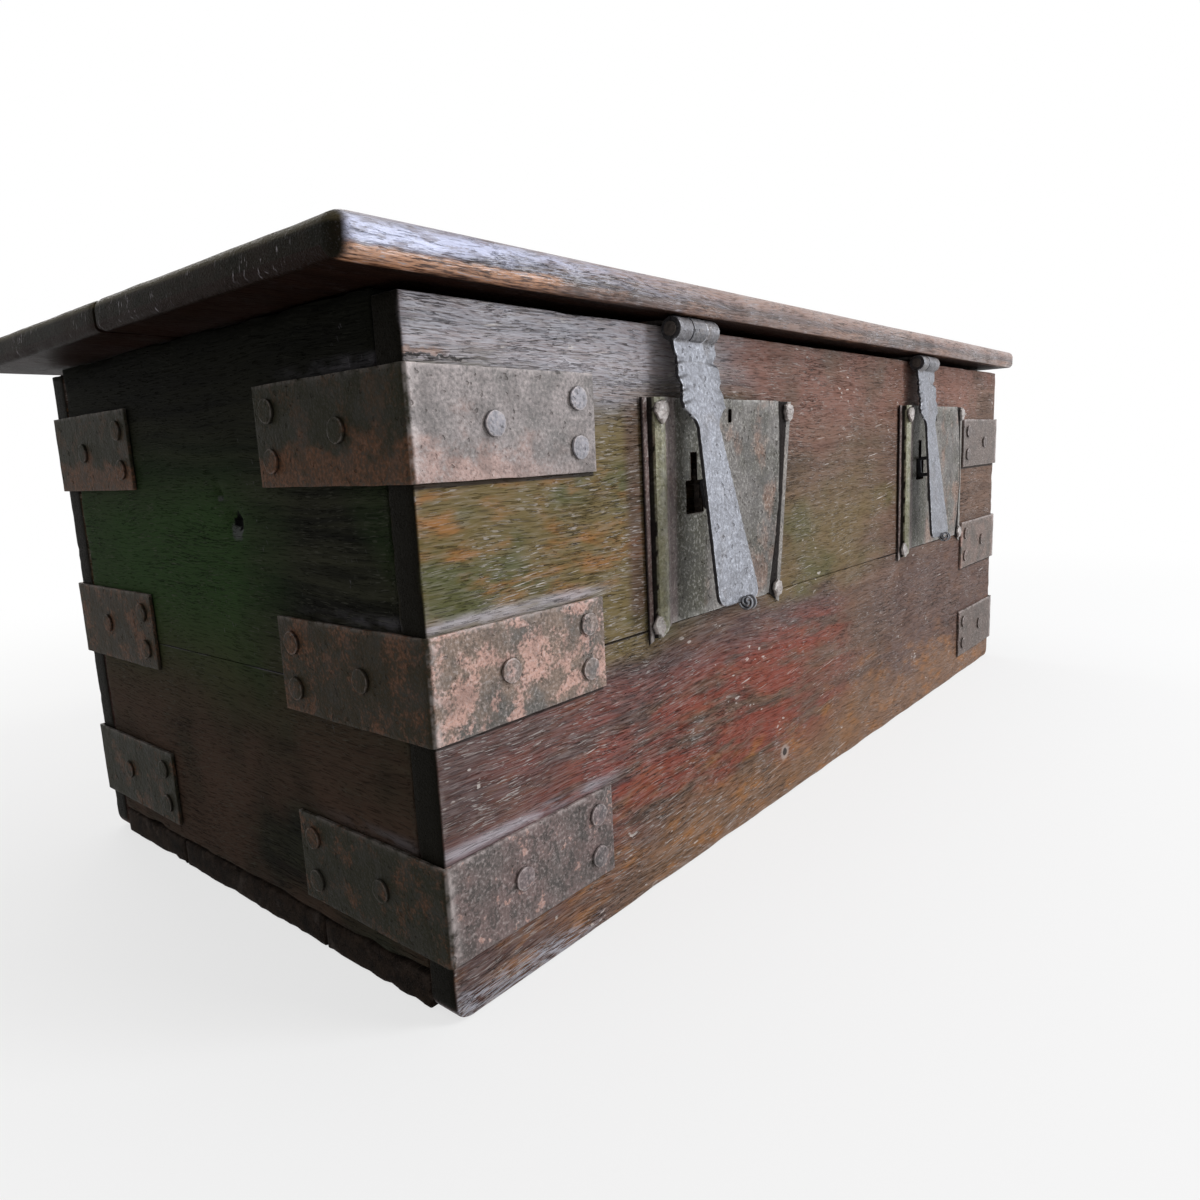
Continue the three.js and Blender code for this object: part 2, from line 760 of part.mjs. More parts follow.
// One long strap under the lid carries the lid's knuckle at the back and the hasp's at the front.
function lidStrap(middle) {
  const halfNeck = middleKnuckle / 2 - knuckleGap / 2;
  const half = lidStrapWidth / 2;
  const frontNeck = fitGap;
  const backNeck = chestDepth - fitGap;
  const shape = shapeOf([
    [middle - halfNeck, haspAxisY],
    [middle + halfNeck, haspAxisY],
    [middle + halfNeck, frontNeck],
    [middle + half, frontNeck + half],
    [middle + half, backNeck - half],
    [middle + halfNeck, backNeck],
    [middle + halfNeck, lidAxisY],
    [middle - halfNeck, lidAxisY],
    [middle - halfNeck, backNeck],
    [middle - half, backNeck - half],
    [middle - half, frontNeck + half],
    [middle - halfNeck, frontNeck],
  ]);
  const low = sideHeight - lidStrapThickness;
  const parts = [upward(shape, low, lidStrapThickness)];
  parts.push(...knuckles([middle - halfNeck], 2 * halfNeck, haspAxisY, axisHeight));
  parts.push(...knuckles([middle - halfNeck], 2 * halfNeck, lidAxisY, axisHeight));
  const down = new THREE.Vector3(0, 0, -1);
  const inner = chestDepth - 2 * wallThickness - lidStrapWidth;
  for (let nail = 0; nail < lidStrapNails; nail += 1) {
    const side = (nail % 2 === 0 ? 1 : -1) * (half / 3);
    const y = wallThickness + half + inner * (nail / (lidStrapNails - 1));
    parts.push(nailHead(middle + side, y, low, down));
  }
  return joined(parts);
}

// The fixed leaf of a lid hinge lies on the outside of the back boards.
function backLeaf(middle) {
  const half = barrelLength / 2;
  const low = axisHeight - backLeafLength;
  const cut = knuckleRadius + knuckleGap;
  const halfGap = middleKnuckle / 2 + knuckleGap / 2;
  const shape = shapeOf([
    [middle - half, axisHeight],
    [middle - half, low + backLeafCorner],
    [middle - half + backLeafCorner, low],
    [middle + half - backLeafCorner, low],
    [middle + half, low + backLeafCorner],
    [middle + half, axisHeight],
    [middle + halfGap, axisHeight],
    [middle + halfGap, axisHeight - cut],
    [middle - halfGap, axisHeight - cut],
    [middle - halfGap, axisHeight],
  ]);
  const face = chestDepth + fitGap + lidStrapThickness;
  const parts = [forward(shape, face, lidStrapThickness)];
  parts.push(...outerKnuckles(middle, lidAxisY, axisHeight));
  for (const x of [-backLeafNailSpread / 2, backLeafNailSpread / 2]) {
    for (const drop of [backLeafTopNail, backLeafLowNail]) {
      parts.push(nailHead(middle + x, face, axisHeight - drop, Y));
    }
  }
  const bore = pinRadius + pinClearance;
  const start = middle - half - cutOverrun;
  const length = barrelLength + 2 * cutOverrun;
  return joined(parts).subtract(cylinderAlongX(bore, start, length, lidAxisY, axisHeight));
}

// The hasp's leaf, drawn from its hinge axis downwards: a notched head, a waist and a flared foot
function haspOutline() {
  const head = haspHeadHalf;
  const notch = haspHeadHalf - haspNotchDepth;
  const notchShares = [0.38, 0.72]; // of the head's length
  const lobeShares = [0.26, 0.55, 0.86];
  const start = knuckleRadius - haspThickness / 2;
  const half = [
    [barrelLength / 2, start],
    [head, haspHeadLength * lobeShares[0]],
    [notch, haspHeadLength * notchShares[0]],
    [head, haspHeadLength * lobeShares[1]],
    [notch, haspHeadLength * notchShares[1]],
    [head, haspHeadLength * lobeShares[2]],
    [head - haspNotchDepth / 2, haspHeadLength],
  ];
  const shape = new THREE.Shape();
  const right = half.map(([across, drop]) => [across, -drop]);
  shape.moveTo(...right[0]);
  right.slice(1).forEach((point) => shape.lineTo(...point));
  const shoulder = (haspHeadLength + haspWaistDrop) / 2;
  shape.quadraticCurveTo(haspWaistHalf, -shoulder, haspWaistHalf, -haspWaistDrop);
  shape.lineTo(haspFootHalf, -(haspLength - haspFootRadius));
  shape.quadraticCurveTo(haspFootHalf, -haspLength, haspFootHalf - haspFootRadius, -haspLength);
  shape.lineTo(-(haspFootHalf - haspFootRadius), -haspLength);
  shape.quadraticCurveTo(-haspFootHalf, -haspLength, -haspFootHalf, -(haspLength - haspFootRadius));
  shape.lineTo(-haspWaistHalf, -haspWaistDrop);
  const [endAcross, endHeight] = right[right.length - 1];
  shape.quadraticCurveTo(-haspWaistHalf, -shoulder, -endAcross, endHeight);
  right.slice(0, -1).reverse().forEach(([across, height]) => shape.lineTo(-across, height));
  return shape;
}

// The tongue at the foot is rolled outward into a small tight curl.
function haspCurl() {
  const centreY = -(curlRadius - haspThickness / 2);
  const turn = THREE.MathUtils.degToRad(curlTurn);
  const shape = new THREE.Shape();
  shape.absarc(centreY, -haspLength, curlRadius, 0, -turn, true);
  shape.absarc(centreY, -haspLength, curlHoleRadius, -turn, 0, false);
  return alongX(shape, tongueOffset - tongueHalf, 2 * tongueHalf);
}

// A square-eyed staple stands out of the back of the leaf for the bolt to pass through.
function haspStaple() {
  const back = haspThickness / 2;
  const low = -(stapleDrop + stapleHeight / 2);
  const high = low + stapleHeight;
  const nose = stapleBar / 2;
  const shape = shapeOf([
    [0, low],
    [back + stapleReach - nose, low],
    [back + stapleReach, low + nose],
    [back + stapleReach, high - nose],
    [back + stapleReach - nose, high],
    [0, high],
  ]);
  const eye = block(
    stapleOffset - stapleBar,
    stapleOffset + stapleBar,
    back,
    back + stapleReach - stapleBar,
    low + stapleBar,
    high - stapleBar,
  );
  return alongX(shape, stapleOffset - stapleBar / 2, stapleBar).subtract(eye);
}

function hasp() {
  const leaf = forward(haspOutline(), haspThickness / 2, haspThickness);
  const halfGap = middleKnuckle / 2 + knuckleGap / 2;
  const room = knuckleRadius + knuckleGap;
  const bore = pinRadius + pinClearance;
  const middleRoom = cylinderAlongX(room, -halfGap, 2 * halfGap, 0, 0);
  const clear = cylinderAlongX(bore, -barrelLength, 2 * barrelLength, 0, 0);
  const parts = [leaf.subtract(middleRoom), ...outerKnuckles(0, 0, 0), haspCurl(), haspStaple()];
  return joined(parts).subtract(clear);
}

const chest = new THREE.Group();
wallBoards(chest);
sideBoards(chest);
bottomBoards(chest);
cornerStraps(chest);

const bolts = new THREE.Group();
locks(chest, bolts);

const lid = new THREE.Group();
lidBoards(lid);

for (const [side, start] of Object.entries(lockStarts)) {
  const middle = start + haspOffset;
  piece(lid, `lid_strap_${side}`, lidStrap(middle), innerIron());
  piece(lid, `hasp_pin_${side}`, hingePin(middle, haspAxisY, axisHeight), haspIron());
  piece(chest, `back_hinge_leaf_${side}`, backLeaf(middle), innerIron());
  piece(chest, `back_hinge_pin_${side}`, hingePin(middle, lidAxisY, axisHeight), innerIron());
  const hanging = new THREE.Group();
  piece(hanging, `hasp_${side}`, hasp(), haspIron());
  hanging.position.set(middle, haspAxisY, axisHeight);
  hanging.rotation.x = -THREE.MathUtils.degToRad(haspLean[side]);
  lid.add(hanging);
}

const whole = new THREE.Group();
whole.add(chest, bolts, lid);
const footprint = new THREE.Box3().setFromObject(whole, true);
const centre = footprint.getCenter(new THREE.Vector3());
whole.position.set(-centre.x, -centre.y, 0);

export default whole;
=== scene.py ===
# An old boarded chest, bound at its corners with forged iron straps and shut by two hasps
# that hang from its lid and enter two dished lock plates.
# Metres, +X along the front, +Y from front to back, +Z up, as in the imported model.

import math
import bmesh
import bpy
from mathutils import Matrix, Vector, noise


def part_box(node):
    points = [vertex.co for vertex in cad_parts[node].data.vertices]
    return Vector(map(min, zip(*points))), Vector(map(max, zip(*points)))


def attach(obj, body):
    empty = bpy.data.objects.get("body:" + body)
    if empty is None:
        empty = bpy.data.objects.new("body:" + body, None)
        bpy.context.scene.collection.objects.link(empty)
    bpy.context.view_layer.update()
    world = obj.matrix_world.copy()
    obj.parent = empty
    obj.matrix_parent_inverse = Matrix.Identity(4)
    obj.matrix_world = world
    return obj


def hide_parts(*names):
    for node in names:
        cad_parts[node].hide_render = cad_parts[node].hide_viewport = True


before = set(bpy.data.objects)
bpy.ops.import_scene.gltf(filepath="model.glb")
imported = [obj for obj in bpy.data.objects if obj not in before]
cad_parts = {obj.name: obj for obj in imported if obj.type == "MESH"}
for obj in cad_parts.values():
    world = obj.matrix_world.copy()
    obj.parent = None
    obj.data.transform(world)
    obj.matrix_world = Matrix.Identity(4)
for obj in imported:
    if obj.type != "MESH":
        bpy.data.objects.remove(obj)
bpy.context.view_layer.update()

# Bottom boards: three sawn boards laid lengthways between the front and back boards and
# under the side boards, nailed up into them. Their end grain shows at the chest's foot,
# dry and grey-brown, because nobody ever waxed it.
BOARD_ARRIS = 0.0016
BOARD_SPACING = 0.0055
RUBBED_REACH = 0.0032
SHARP = math.radians(50)
BUMP_DEPTH = 0.0013
BOTTOM_TONES = {
    "deep": (0.008, 0.006, 0.005),
    "body": (0.028, 0.019, 0.014),
    "pale": (0.110, 0.085, 0.072),
    "silver": (0.110, 0.095, 0.085),
}


class Shade:
    """A value or colour that varies over a piece: one socket in the nodes of its finish."""

    def __init__(self, tree, socket=None):
        self.tree = tree
        self.socket = socket

    def node(self, kind, settings, inputs, output=0):
        """Adds any node: its settings come first, then values or links for its sockets."""
        made = self.tree.nodes.new(kind)
        for key, value in settings.items():
            setattr(made, key, value)
        for key, value in inputs.items():
            matches = [socket for socket in made.inputs if socket.identifier == key]
            socket = matches[0] if matches else made.inputs[key]
            if isinstance(value, Shade):
                self.tree.links.new(value.socket, socket)
            else:
                socket.default_value = (*value, 1.0) if socket.type == "RGBA" else value
        return Shade(self.tree, made.outputs[output] if len(made.outputs) else None)

    def math(self, operation, first, second):
        return self.node("ShaderNodeMath", {"operation": operation}, {0: first, 1: second})

    def __add__(self, other):
        return self.math("ADD", self, other)

    def __radd__(self, other):
        return self.math("ADD", other, self)

    def __sub__(self, other):
        return self.math("SUBTRACT", self, other)

    def __rsub__(self, other):
        return self.math("SUBTRACT", other, self)

    def __mul__(self, other):
        return self.math("MULTIPLY", self, other)

    def __rmul__(self, other):
        return self.math("MULTIPLY", other, self)

    def vector(self, operation, other=(0, 0, 0), output=0):
        return self.node("ShaderNodeVectorMath", {"operation": operation}, {0: self, 1: other}, output)

    def rise(self, low, high):
        """Nothing below low, all above high, and a smooth step between them."""
        step = {"Value": self, "From Min": low, "From Max": high}
        return self.node("ShaderNodeMapRange", {"interpolation_type": "SMOOTHSTEP"}, step)

    def within(self, low, high, soft):
        """A smooth band from low to high."""
        return self.rise(low - soft, low + soft) * (1 - self.rise(high - soft, high + soft))

    def tint(self, under, over):
        """Goes from one colour to another as this value goes from 0 to 1."""
        colours = {"Factor_Float": self, "A_Color": under, "B_Color": over}
        return self.node("ShaderNodeMix", {"data_type": "RGBA"}, colours, output=2)

    def part(self, axis):
        """One coordinate of this place."""
        return self.node("ShaderNodeSeparateXYZ", {}, {"Vector": self}, axis)

    def away(self, centre):
        """How far this place is from a point."""
        return self.vector("DISTANCE", centre, output=1)

    def painted(self, name):
        """A value that the piece keeps at each of its points."""
        return self.node("ShaderNodeAttribute", {"attribute_name": name}, {}, output=2)

    def cloud(self, size, detail=2.0, stretch=(1, 1, 1), shift=0.0, turn=(0, 0, 0), output=0):
        """Noise on this place, with features of about a size along each stretched axis."""
        scale = [1 / (size * part) for part in stretch]
        turned = self.node("ShaderNodeMapping", {}, {"Vector": self, "Rotation": turn})
        move = {"Vector": turned, "Scale": scale, "Location": (shift, shift, shift)}
        placed = self.node("ShaderNodeMapping", {}, move)
        inputs = {"Vector": placed, "Scale": 1.0, "Detail": detail, "Roughness": 0.6}
        return self.node("ShaderNodeTexNoise", {}, inputs, output)


def new_finish(name):
    """A named material, with the place on the piece as its first value."""
    finish = bpy.data.materials.new(name)
    finish.use_nodes = True
    finish.node_tree.nodes.clear()
    return finish, Shade(finish.node_tree).node("ShaderNodeTexCoord", {}, {}, "Object")


def coated(colour, *coats):
    """A colour under coats, laid one after the other: how much of each, and its colour."""
    for share, coat in coats:
        colour = share.tint(colour, coat)
    return colour


def close_finish(here, varying, height, shine, dry, glossy):
    """Ends a finish with its bump and a dry and a glossy shader, mixed by shine."""
    bump = here.node("ShaderNodeBump", {}, {"Height": height, "Distance": BUMP_DEPTH, "Strength": 1.0})
    shaders = [
        here.node("ShaderNodeBsdfPrincipled", {}, {**varying, "Normal": bump, "Specular IOR Level": level})
        for level in (dry, glossy)
    ]
    surface = here.node("ShaderNodeMixShader", {}, {0: shine, 1: shaders[0], 2: shaders[1]})
    here.node("ShaderNodeOutputMaterial", {}, {"Surface": surface})


def old_wood(name, along, tones, zones, roughness, marks=None):
    """Open-grained old wood with its grain along one axis: its zones set colour, wax, silver
    streaks and how far its pale grain, glints and worn edges are muted, under the grain, and
    its marks lie over it. The glints and much of the silver are painted highlights and sheen."""
    finish, here = new_finish(name)
    grain = here
    for size, reach in ((0.11, 0.022), (0.035, 0.006)):
        long = [2.2 if axis == along else 1 for axis in range(3)]
        across = [0.0 if axis == along else reach for axis in range(3)]
        drift = here.cloud(size, 1.0, long, output=1).vector("SUBTRACT", (0.5, 0.5, 0.5))
        grain = grain.vector("ADD", drift.vector("MULTIPLY", across))

    def drawn(length, width, detail=2.0, shift=0.0):
        """Noise drawn out along the grain"""
        stretch = [length if axis == along else width for axis in range(3)]
        return grain.cloud(1.0, detail, stretch, shift)

    bands = drawn(0.22, 0.010, 3.0)
    fibres = drawn(0.024, 0.0014, 2.0, 1.7)
    patches = here.cloud(0.040, 2.0, shift=5.5)
    threads = drawn(0.018, 0.0009, 2.0, 6.1)
    # Pale dashes along the grain: pale flecks of fibre, with painted glints where light catches the ridges
    flecks_and_glints = drawn(0.0110, 0.0010, 1.0, 4.1).rise(0.60, 0.64) * patches.rise(0.38, 0.62)
    pores = drawn(0.014, 0.0011, 1.0, 7.3).rise(0.60, 0.68)
    checks = drawn(0.10, 0.0045, 4.0, 9.9).within(0.488, 0.496, 0.006)
    checks = checks * here.cloud(0.09, 1.0, shift=2.2).rise(0.52, 0.66)
    edge_wear = here.painted("rubbed") * here.cloud(0.012, 3.0, shift=8.8).rise(0.40, 0.66)
    dark_grain = (1 - fibres.rise(0.30, 0.46)) * 0.50 + pores * 0.35
    colour = bands.rise(0.30, 0.70).tint(tones["deep"], tones["body"])
    colour, wax, silver, dim = zones(here, grain, colour)
    clear = 1 - dim
    colour = coated(
        colour,
        (fibres.rise(0.45, 0.70) * clear * 0.16, tones["pale"]),
        (dark_grain * (0.35 + clear * 0.65), tones["deep"]),
        # Silver streaks: painted sheen on waxed faces, and wear and dust where the zones put them
        (silver * threads.rise(0.42, 0.58) * 0.85, tones["silver"]),
        (flecks_and_glints * (0.05 + clear * 0.50), tones["pale"]),
        (checks * 0.85, tones["deep"]),
        (edge_wear * clear * 0.30, tones["pale"]),
    )
    if marks:
        colour = marks(here, colour)
    height = (fibres * 0.6 + bands * 0.2 + flecks_and_glints * 0.3 - pores * 0.5 - checks * 1.6) * (0.8 + silver * 0.8)
    dullness = roughness + fibres * 0.14 + pores * 0.2 - wax * 0.12 - 0.1
    shine = wax * (0.45 + patches.rise(0.3, 0.7) * 0.55)
    close_finish(here, {"Base Color": colour, "Roughness": dullness}, height, shine, dry=0.02, glossy=0.75)
    return finish


def hump(distance, width):
    return math.exp(-((distance / width) ** 2))


def signed_noise(place, size, seed):
    return noise.noise(place / size + Vector((seed, seed * 0.7, -seed)))


def sawn_block(name, low, high):
    """A plain block between two corners, alone and selected, from which a board is shaped."""
    bpy.ops.object.select_all(action="DESELECT")
    bpy.ops.mesh.primitive_cube_add(size=1, location=(low + high) / 2)
    block = bpy.context.object
    block.name = name
    block.data.name = name
    block.scale = high - low
    bpy.ops.object.transform_apply(location=True, rotation=True, scale=True)
    return block


def open_with(piece, kind, test):
    """Opens a piece for editing, with only the edges or faces selected that pass a test."""
    bpy.ops.object.mode_set(mode="EDIT")
    bpy.ops.mesh.select_mode(type=kind)
    bpy.ops.mesh.select_all(action="DESELECT")
    shape = bmesh.from_edit_mesh(piece.data)
    for element in shape.edges if kind == "EDGE" else shape.faces:
        if test(element):
            element.select_set(True)
    bmesh.update_edit_mesh(piece.data)


def bevel_where(piece, test, offset, segments):
    """Bevels the edges that pass a test on the edge, its middle and its direction."""

    def passes(edge):
        first, second = (vertex.co for vertex in edge.verts)
        return test(edge, (first + second) / 2, (second - first).normalized())

    open_with(piece, "EDGE", passes)
    bpy.ops.mesh.bevel(offset=offset, segments=segments, affect="EDGES")
    bpy.ops.object.mode_set(mode="OBJECT")


def break_arrises(piece, offset, shut=math.inf):
    """Rounds the sharp edges of a piece a little, but not those of a joint at a height."""

    def sharp(edge, middle, run):
        in_joint = all(abs(vertex.co.z - shut) < 1e-4 for vertex in edge.verts)
        return edge.calc_face_angle() > SHARP and not in_joint

    bevel_where(piece, sharp, offset, 2)


def cut_evenly(piece, axis, spacing):
    """Cuts a piece square to one axis, again and again, so that wear has points to move."""
    places = [vertex.co[axis] for vertex in piece.data.vertices]
    low = min(places)
    high = max(places)
    count = max(1, round((high - low) / spacing))
    square = [1.0 if index == axis else 0.0 for index in range(3)]
    bpy.ops.object.mode_set(mode="EDIT")
    for cut in range(1, count):
        through = [0.0, 0.0, 0.0]
        through[axis] = low + (high - low) * cut / count
        bpy.ops.mesh.select_all(action="SELECT")
        bpy.ops.mesh.bisect(plane_co=through, plane_no=square)
    bpy.ops.object.mode_set(mode="OBJECT")


def face_outward():
    """Turns all faces of the piece in hand outward."""
    bpy.ops.object.mode_set(mode="EDIT")
    bpy.ops.mesh.select_all(action="SELECT")
    bpy.ops.mesh.normals_make_consistent(inside=False)
    bpy.ops.object.mode_set(mode="OBJECT")


def wear_board(board, along, hollow, rubbing, seed, shut=math.inf):
    """Wears a board inwards: its faces lie uneven, its arrises are rubbed and chipped."""
    corners = [vertex.co for vertex in board.data.vertices]
    low = Vector([min(point[axis] for point in corners) for axis in range(3)])
    high = Vector([max(point[axis] for point in corners) for axis in range(3)])
    rubbed = board.data.attributes.new("rubbed", "FLOAT", "POINT")
    for vertex in board.data.vertices:
        point = vertex.co.copy()
        gaps = [min(point[axis] - low[axis], high[axis] - point[axis]) for axis in range(3)]
        near = [hump(gap, RUBBED_REACH) for gap in gaps]
        if abs(point.z - shut) < 3 * RUBBED_REACH:
            near[2] *= 0.1
        arris = min(1.0, sum(near) - max(near))
        drawn = point.copy()
        drawn[along] *= 0.18
        wave = 0.5 + 0.5 * signed_noise(drawn, 0.035, seed)
        chips = max(0.0, signed_noise(drawn, 0.006, seed + 3.0) - 0.05)
        gouge = max(0.0, signed_noise(point, 0.045, seed + 5.0) - 0.25)
        amount = hollow * wave + rubbing * arris * (0.35 + 1.6 * chips + 1.0 * gouge)
        for axis in range(3):
            inward = 1.0 if point[axis] - low[axis] < high[axis] - point[axis] else -1.0
            vertex.co[axis] += inward * near[axis] * amount
        rubbed.data[vertex.index].value = arris
    face_outward()
    bpy.ops.object.shade_smooth_by_angle(angle=math.radians(40))


def stand_for(piece, body, node, finish):
    """Gives a piece its finish and lets it take the place of its node on its body."""
    piece.data.materials.clear()
    piece.data.materials.append(finish)
    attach(piece, body)
    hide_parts(node)


def bottom_zones(here, grain, colour):
    dust = here.cloud(0.02, 3.0, shift=3.3).rise(0.55, 0.7)
    return (dust * 0.35).tint(colour, BOTTOM_TONES["pale"]), 0.0, dust * 0.3, 0.4


bottom_finish = old_wood("bottom_board_wood", 0, BOTTOM_TONES, bottom_zones, 0.72)
for number in (1, 2, 3):
    board = sawn_block(f"bottom_board_{number}_worn", *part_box(f"bottom_board_{number}"))
    break_arrises(board, BOARD_ARRIS)
    for axis, coarser in enumerate((2, 1.5, 1)):
        cut_evenly(board, axis, coarser * BOARD_SPACING)
    wear_board(board, 0, 0.0004, 0.0016, 2.0 + number)
    stand_for(board, "chest", f"bottom_board_{number}", bottom_finish)

# Side boards: two boards, one over the other, close each end between the front and back
# boards. The wood is nearly black, with a painted green reflection in it where the light
# falls and a painted shadow of the lid along its top, and its knots have fallen out in places.
SIDE_TONES = {
    "deep": (0.004, 0.004, 0.003),
    "body": (0.024, 0.024, 0.015),
    "pale": (0.085, 0.085, 0.068),
    "silver": (0.100, 0.095, 0.105),
}
SIDE_BROWN = (0.056, 0.034, 0.024)
SIDE_GREEN_REFLECTION = (0.021, 0.043, 0.013)
SIDE_DUST = (0.100, 0.095, 0.105)
BLACK = (0, 0, 0)
LEVELS = ("low", "middle", "high")
SIDE_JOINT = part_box("left_side_board_lower")[1].z
strap_tops = [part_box(f"corner_strap_front_left_{level}")[1].z for level in LEVELS]
low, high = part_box("front_board_lower")
foot = Vector((low.x, low.y, 0.0))
chest_right = high.x
knots = [(foot + Vector((0.0, 0.198, 0.301)), 0.0075), (foot + Vector((0.0, 0.216, 0.321)), 0.0035)]


def side_zones(here, grain, colour):
    """Painted green reflection deeper in, the top nearly black in the lid's painted shadow, brown
    at the foot, dust on the straps' ledges.
    """
    height = here.part(2)
    deep_in = here.part(1).rise(foot.y + 0.10, foot.y + 0.24)
    green_reflection = here.cloud(0.16, 2.0, shift=6.0).rise(0.40, 0.60) * 0.4 + deep_in
    green_reflection = green_reflection * height.within(0.17, 0.33, 0.05)
    green_reflection = green_reflection * (1 - here.part(0).within(foot.x + 0.012, chest_right - 0.012, 0.003))
    low_brown = (1 - height.rise(0.10, 0.26)) * here.cloud(0.12, 2.0, shift=1.0).rise(0.3, 0.6)
    ledges = sum(height.within(top, top + 0.007, 0.004) for top in strap_tops)
    near_corner = 1 - here.part(1).rise(foot.y + 0.04, foot.y + 0.15)
    dust = ledges * near_corner * here.cloud(0.03, 3.0, (1, 1, 0.4), 4.0).rise(0.3, 0.6)
    colour = coated(
        colour,
        # Painted green reflection, deeper in and at mid height
        (green_reflection * 0.85, SIDE_GREEN_REFLECTION),
        # Painted shadow of the lid's overhang: nearly black towards the top
        (height.rise(0.30, 0.42) * 0.88, SIDE_TONES["deep"]),
        (low_brown, SIDE_BROWN),
        (dust * 0.6, SIDE_DUST),
    )
    # Glints and pale grain are muted on the sides, most at the top in the lid's painted shadow
    return colour, 0.0, 0.0, 0.45 + height.rise(0.28, 0.40) * 0.5


def side_marks(here, colour):
    """Pale nicks, dust along the joint, and the dark holes of lost knots with a torn lower lip."""
    nicks = here.cloud(1.0, 2.0, (1, 0.0018, 0.008), 3.1, (math.radians(12), 0, 0)).rise(0.69, 0.73)
    nicks = nicks * here.cloud(0.07, 1.0, shift=7.7).rise(0.56, 0.66)
    joint = here.part(2).within(SIDE_JOINT - 0.0006, SIDE_JOINT + 0.0006, 0.0004)
    joint = joint * here.cloud(0.05, 1.0).rise(0.35, 0.6)
    colour = (nicks * 0.6 + joint * 0.7).rise(0.0, 1.0).tint(colour, SIDE_DUST)
    for knot, size in knots:
        ragged = (here.cloud(0.006, 3.0) - 0.5) * size
        lip = here.away(knot - Vector((0.0, 0.0, 0.7 * size))) + ragged
        colour = coated(
            colour,
            ((1 - lip.rise(0.7 * size, 1.3 * size)) * 0.6, SIDE_DUST),
            (1 - (here.away(knot) + ragged).rise(0.8 * size, size), BLACK),
        )
    return colour


side_finish = old_wood("side_board_wood", 1, SIDE_TONES, side_zones, 0.72, side_marks)
for seed, side in enumerate(("left", "right")):
    for level in ("lower", "upper"):
        node = f"{side}_side_board_{level}"
        board = sawn_block(f"{node}_worn", *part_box(node))
        break_arrises(board, 0.6 * BOARD_ARRIS, SIDE_JOINT)
        for axis in (1, 2, 0):
            cut_evenly(board, axis, BOARD_SPACING)
        if side == "left":
            for knot, size in knots:
                for vertex in board.data.vertices:
                    vertex.co.x += 0.006 * hump((vertex.co - knot).length, size)
        wear_board(board, 1, 0.0007, 0.0018, 11.0 + seed, SIDE_JOINT)
        stand_for(board, "chest", node, side_finish)

# Front and back boards: two wide boards each, an upper one that ends below the lid and a
# lower one whose bottom corners are worn round. They run past the side boards' ends. Wax,
# smoke and hands have turned them olive above and red-brown below; the olive carries a
# painted green reflection, and painted sheen lies at the top left and over the straps.
WALL_TONES = {
    "deep": (0.016, 0.010, 0.008),
    "body": (0.165, 0.096, 0.066),
    "pale": (0.500, 0.455, 0.430),
    "silver": (0.430, 0.425, 0.470),
}
WALL_OLIVE = (0.160, 0.118, 0.042)
WALL_GREEN_REFLECTION = (0.070, 0.080, 0.026)
WALL_ORANGE = (0.330, 0.135, 0.034)
WALL_RED = (0.220, 0.046, 0.028)
WALL_PLUM = (0.084, 0.040, 0.034)
WALL_MAROON = (0.215, 0.098, 0.072)
WALL_TAN = (0.250, 0.135, 0.070)
WALL_SCRATCH = (0.60, 0.54, 0.50)
WALL_SHEEN = (0.420, 0.380, 0.410)
WALL_END = (0.008, 0.007, 0.005)
FRONT_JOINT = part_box("front_board_lower")[1].z
FRONT_KNOT = foot + Vector((0.416, 0.0, 0.045))
WALL_LENGTH = chest_right - foot.x
SHEEN_HEIGHT = 0.007
SHEEN_LENGTH = 0.160
WORN_CORNER = 0.014
LOCK_RECESS_LOW = Vector((-0.008, -0.005, 0.236))
LOCK_RECESS_HIGH = Vector((0.112, 0.0155, 0.336))
HASP_MIDDLES = {"left": foot.x + 0.255, "right": foot.x + 0.745}


def wall_place(here):
    """How far along and up the wall a place is, whether on the front, and whether at an end."""
    x = here.part(0) - foot.x
    on_front = 1 - here.part(1).rise(foot.y + 0.02, foot.y + 0.06)
    end = 1 - x.rise(0.0006, 0.0026) * (1 - x.rise(WALL_LENGTH - 0.0026, WALL_LENGTH - 0.0006))
    return x, here.part(2), on_front, end


def ledge_sheen(here, x, z, on_front):
    """The pale band just above each front strap: dust and wax on the wood, with a painted sheen."""
    ledges = sum(z.within(top, top + SHEEN_HEIGHT, 0.0035) for top in strap_tops)
    sheen = ledges * (1 - x.rise(0.75 * SHEEN_LENGTH, 1.1 * SHEEN_LENGTH)) * on_front
    return sheen * here.cloud(0.02, 3.0, (3, 1, 0.5), 9.3).rise(0.28, 0.55)


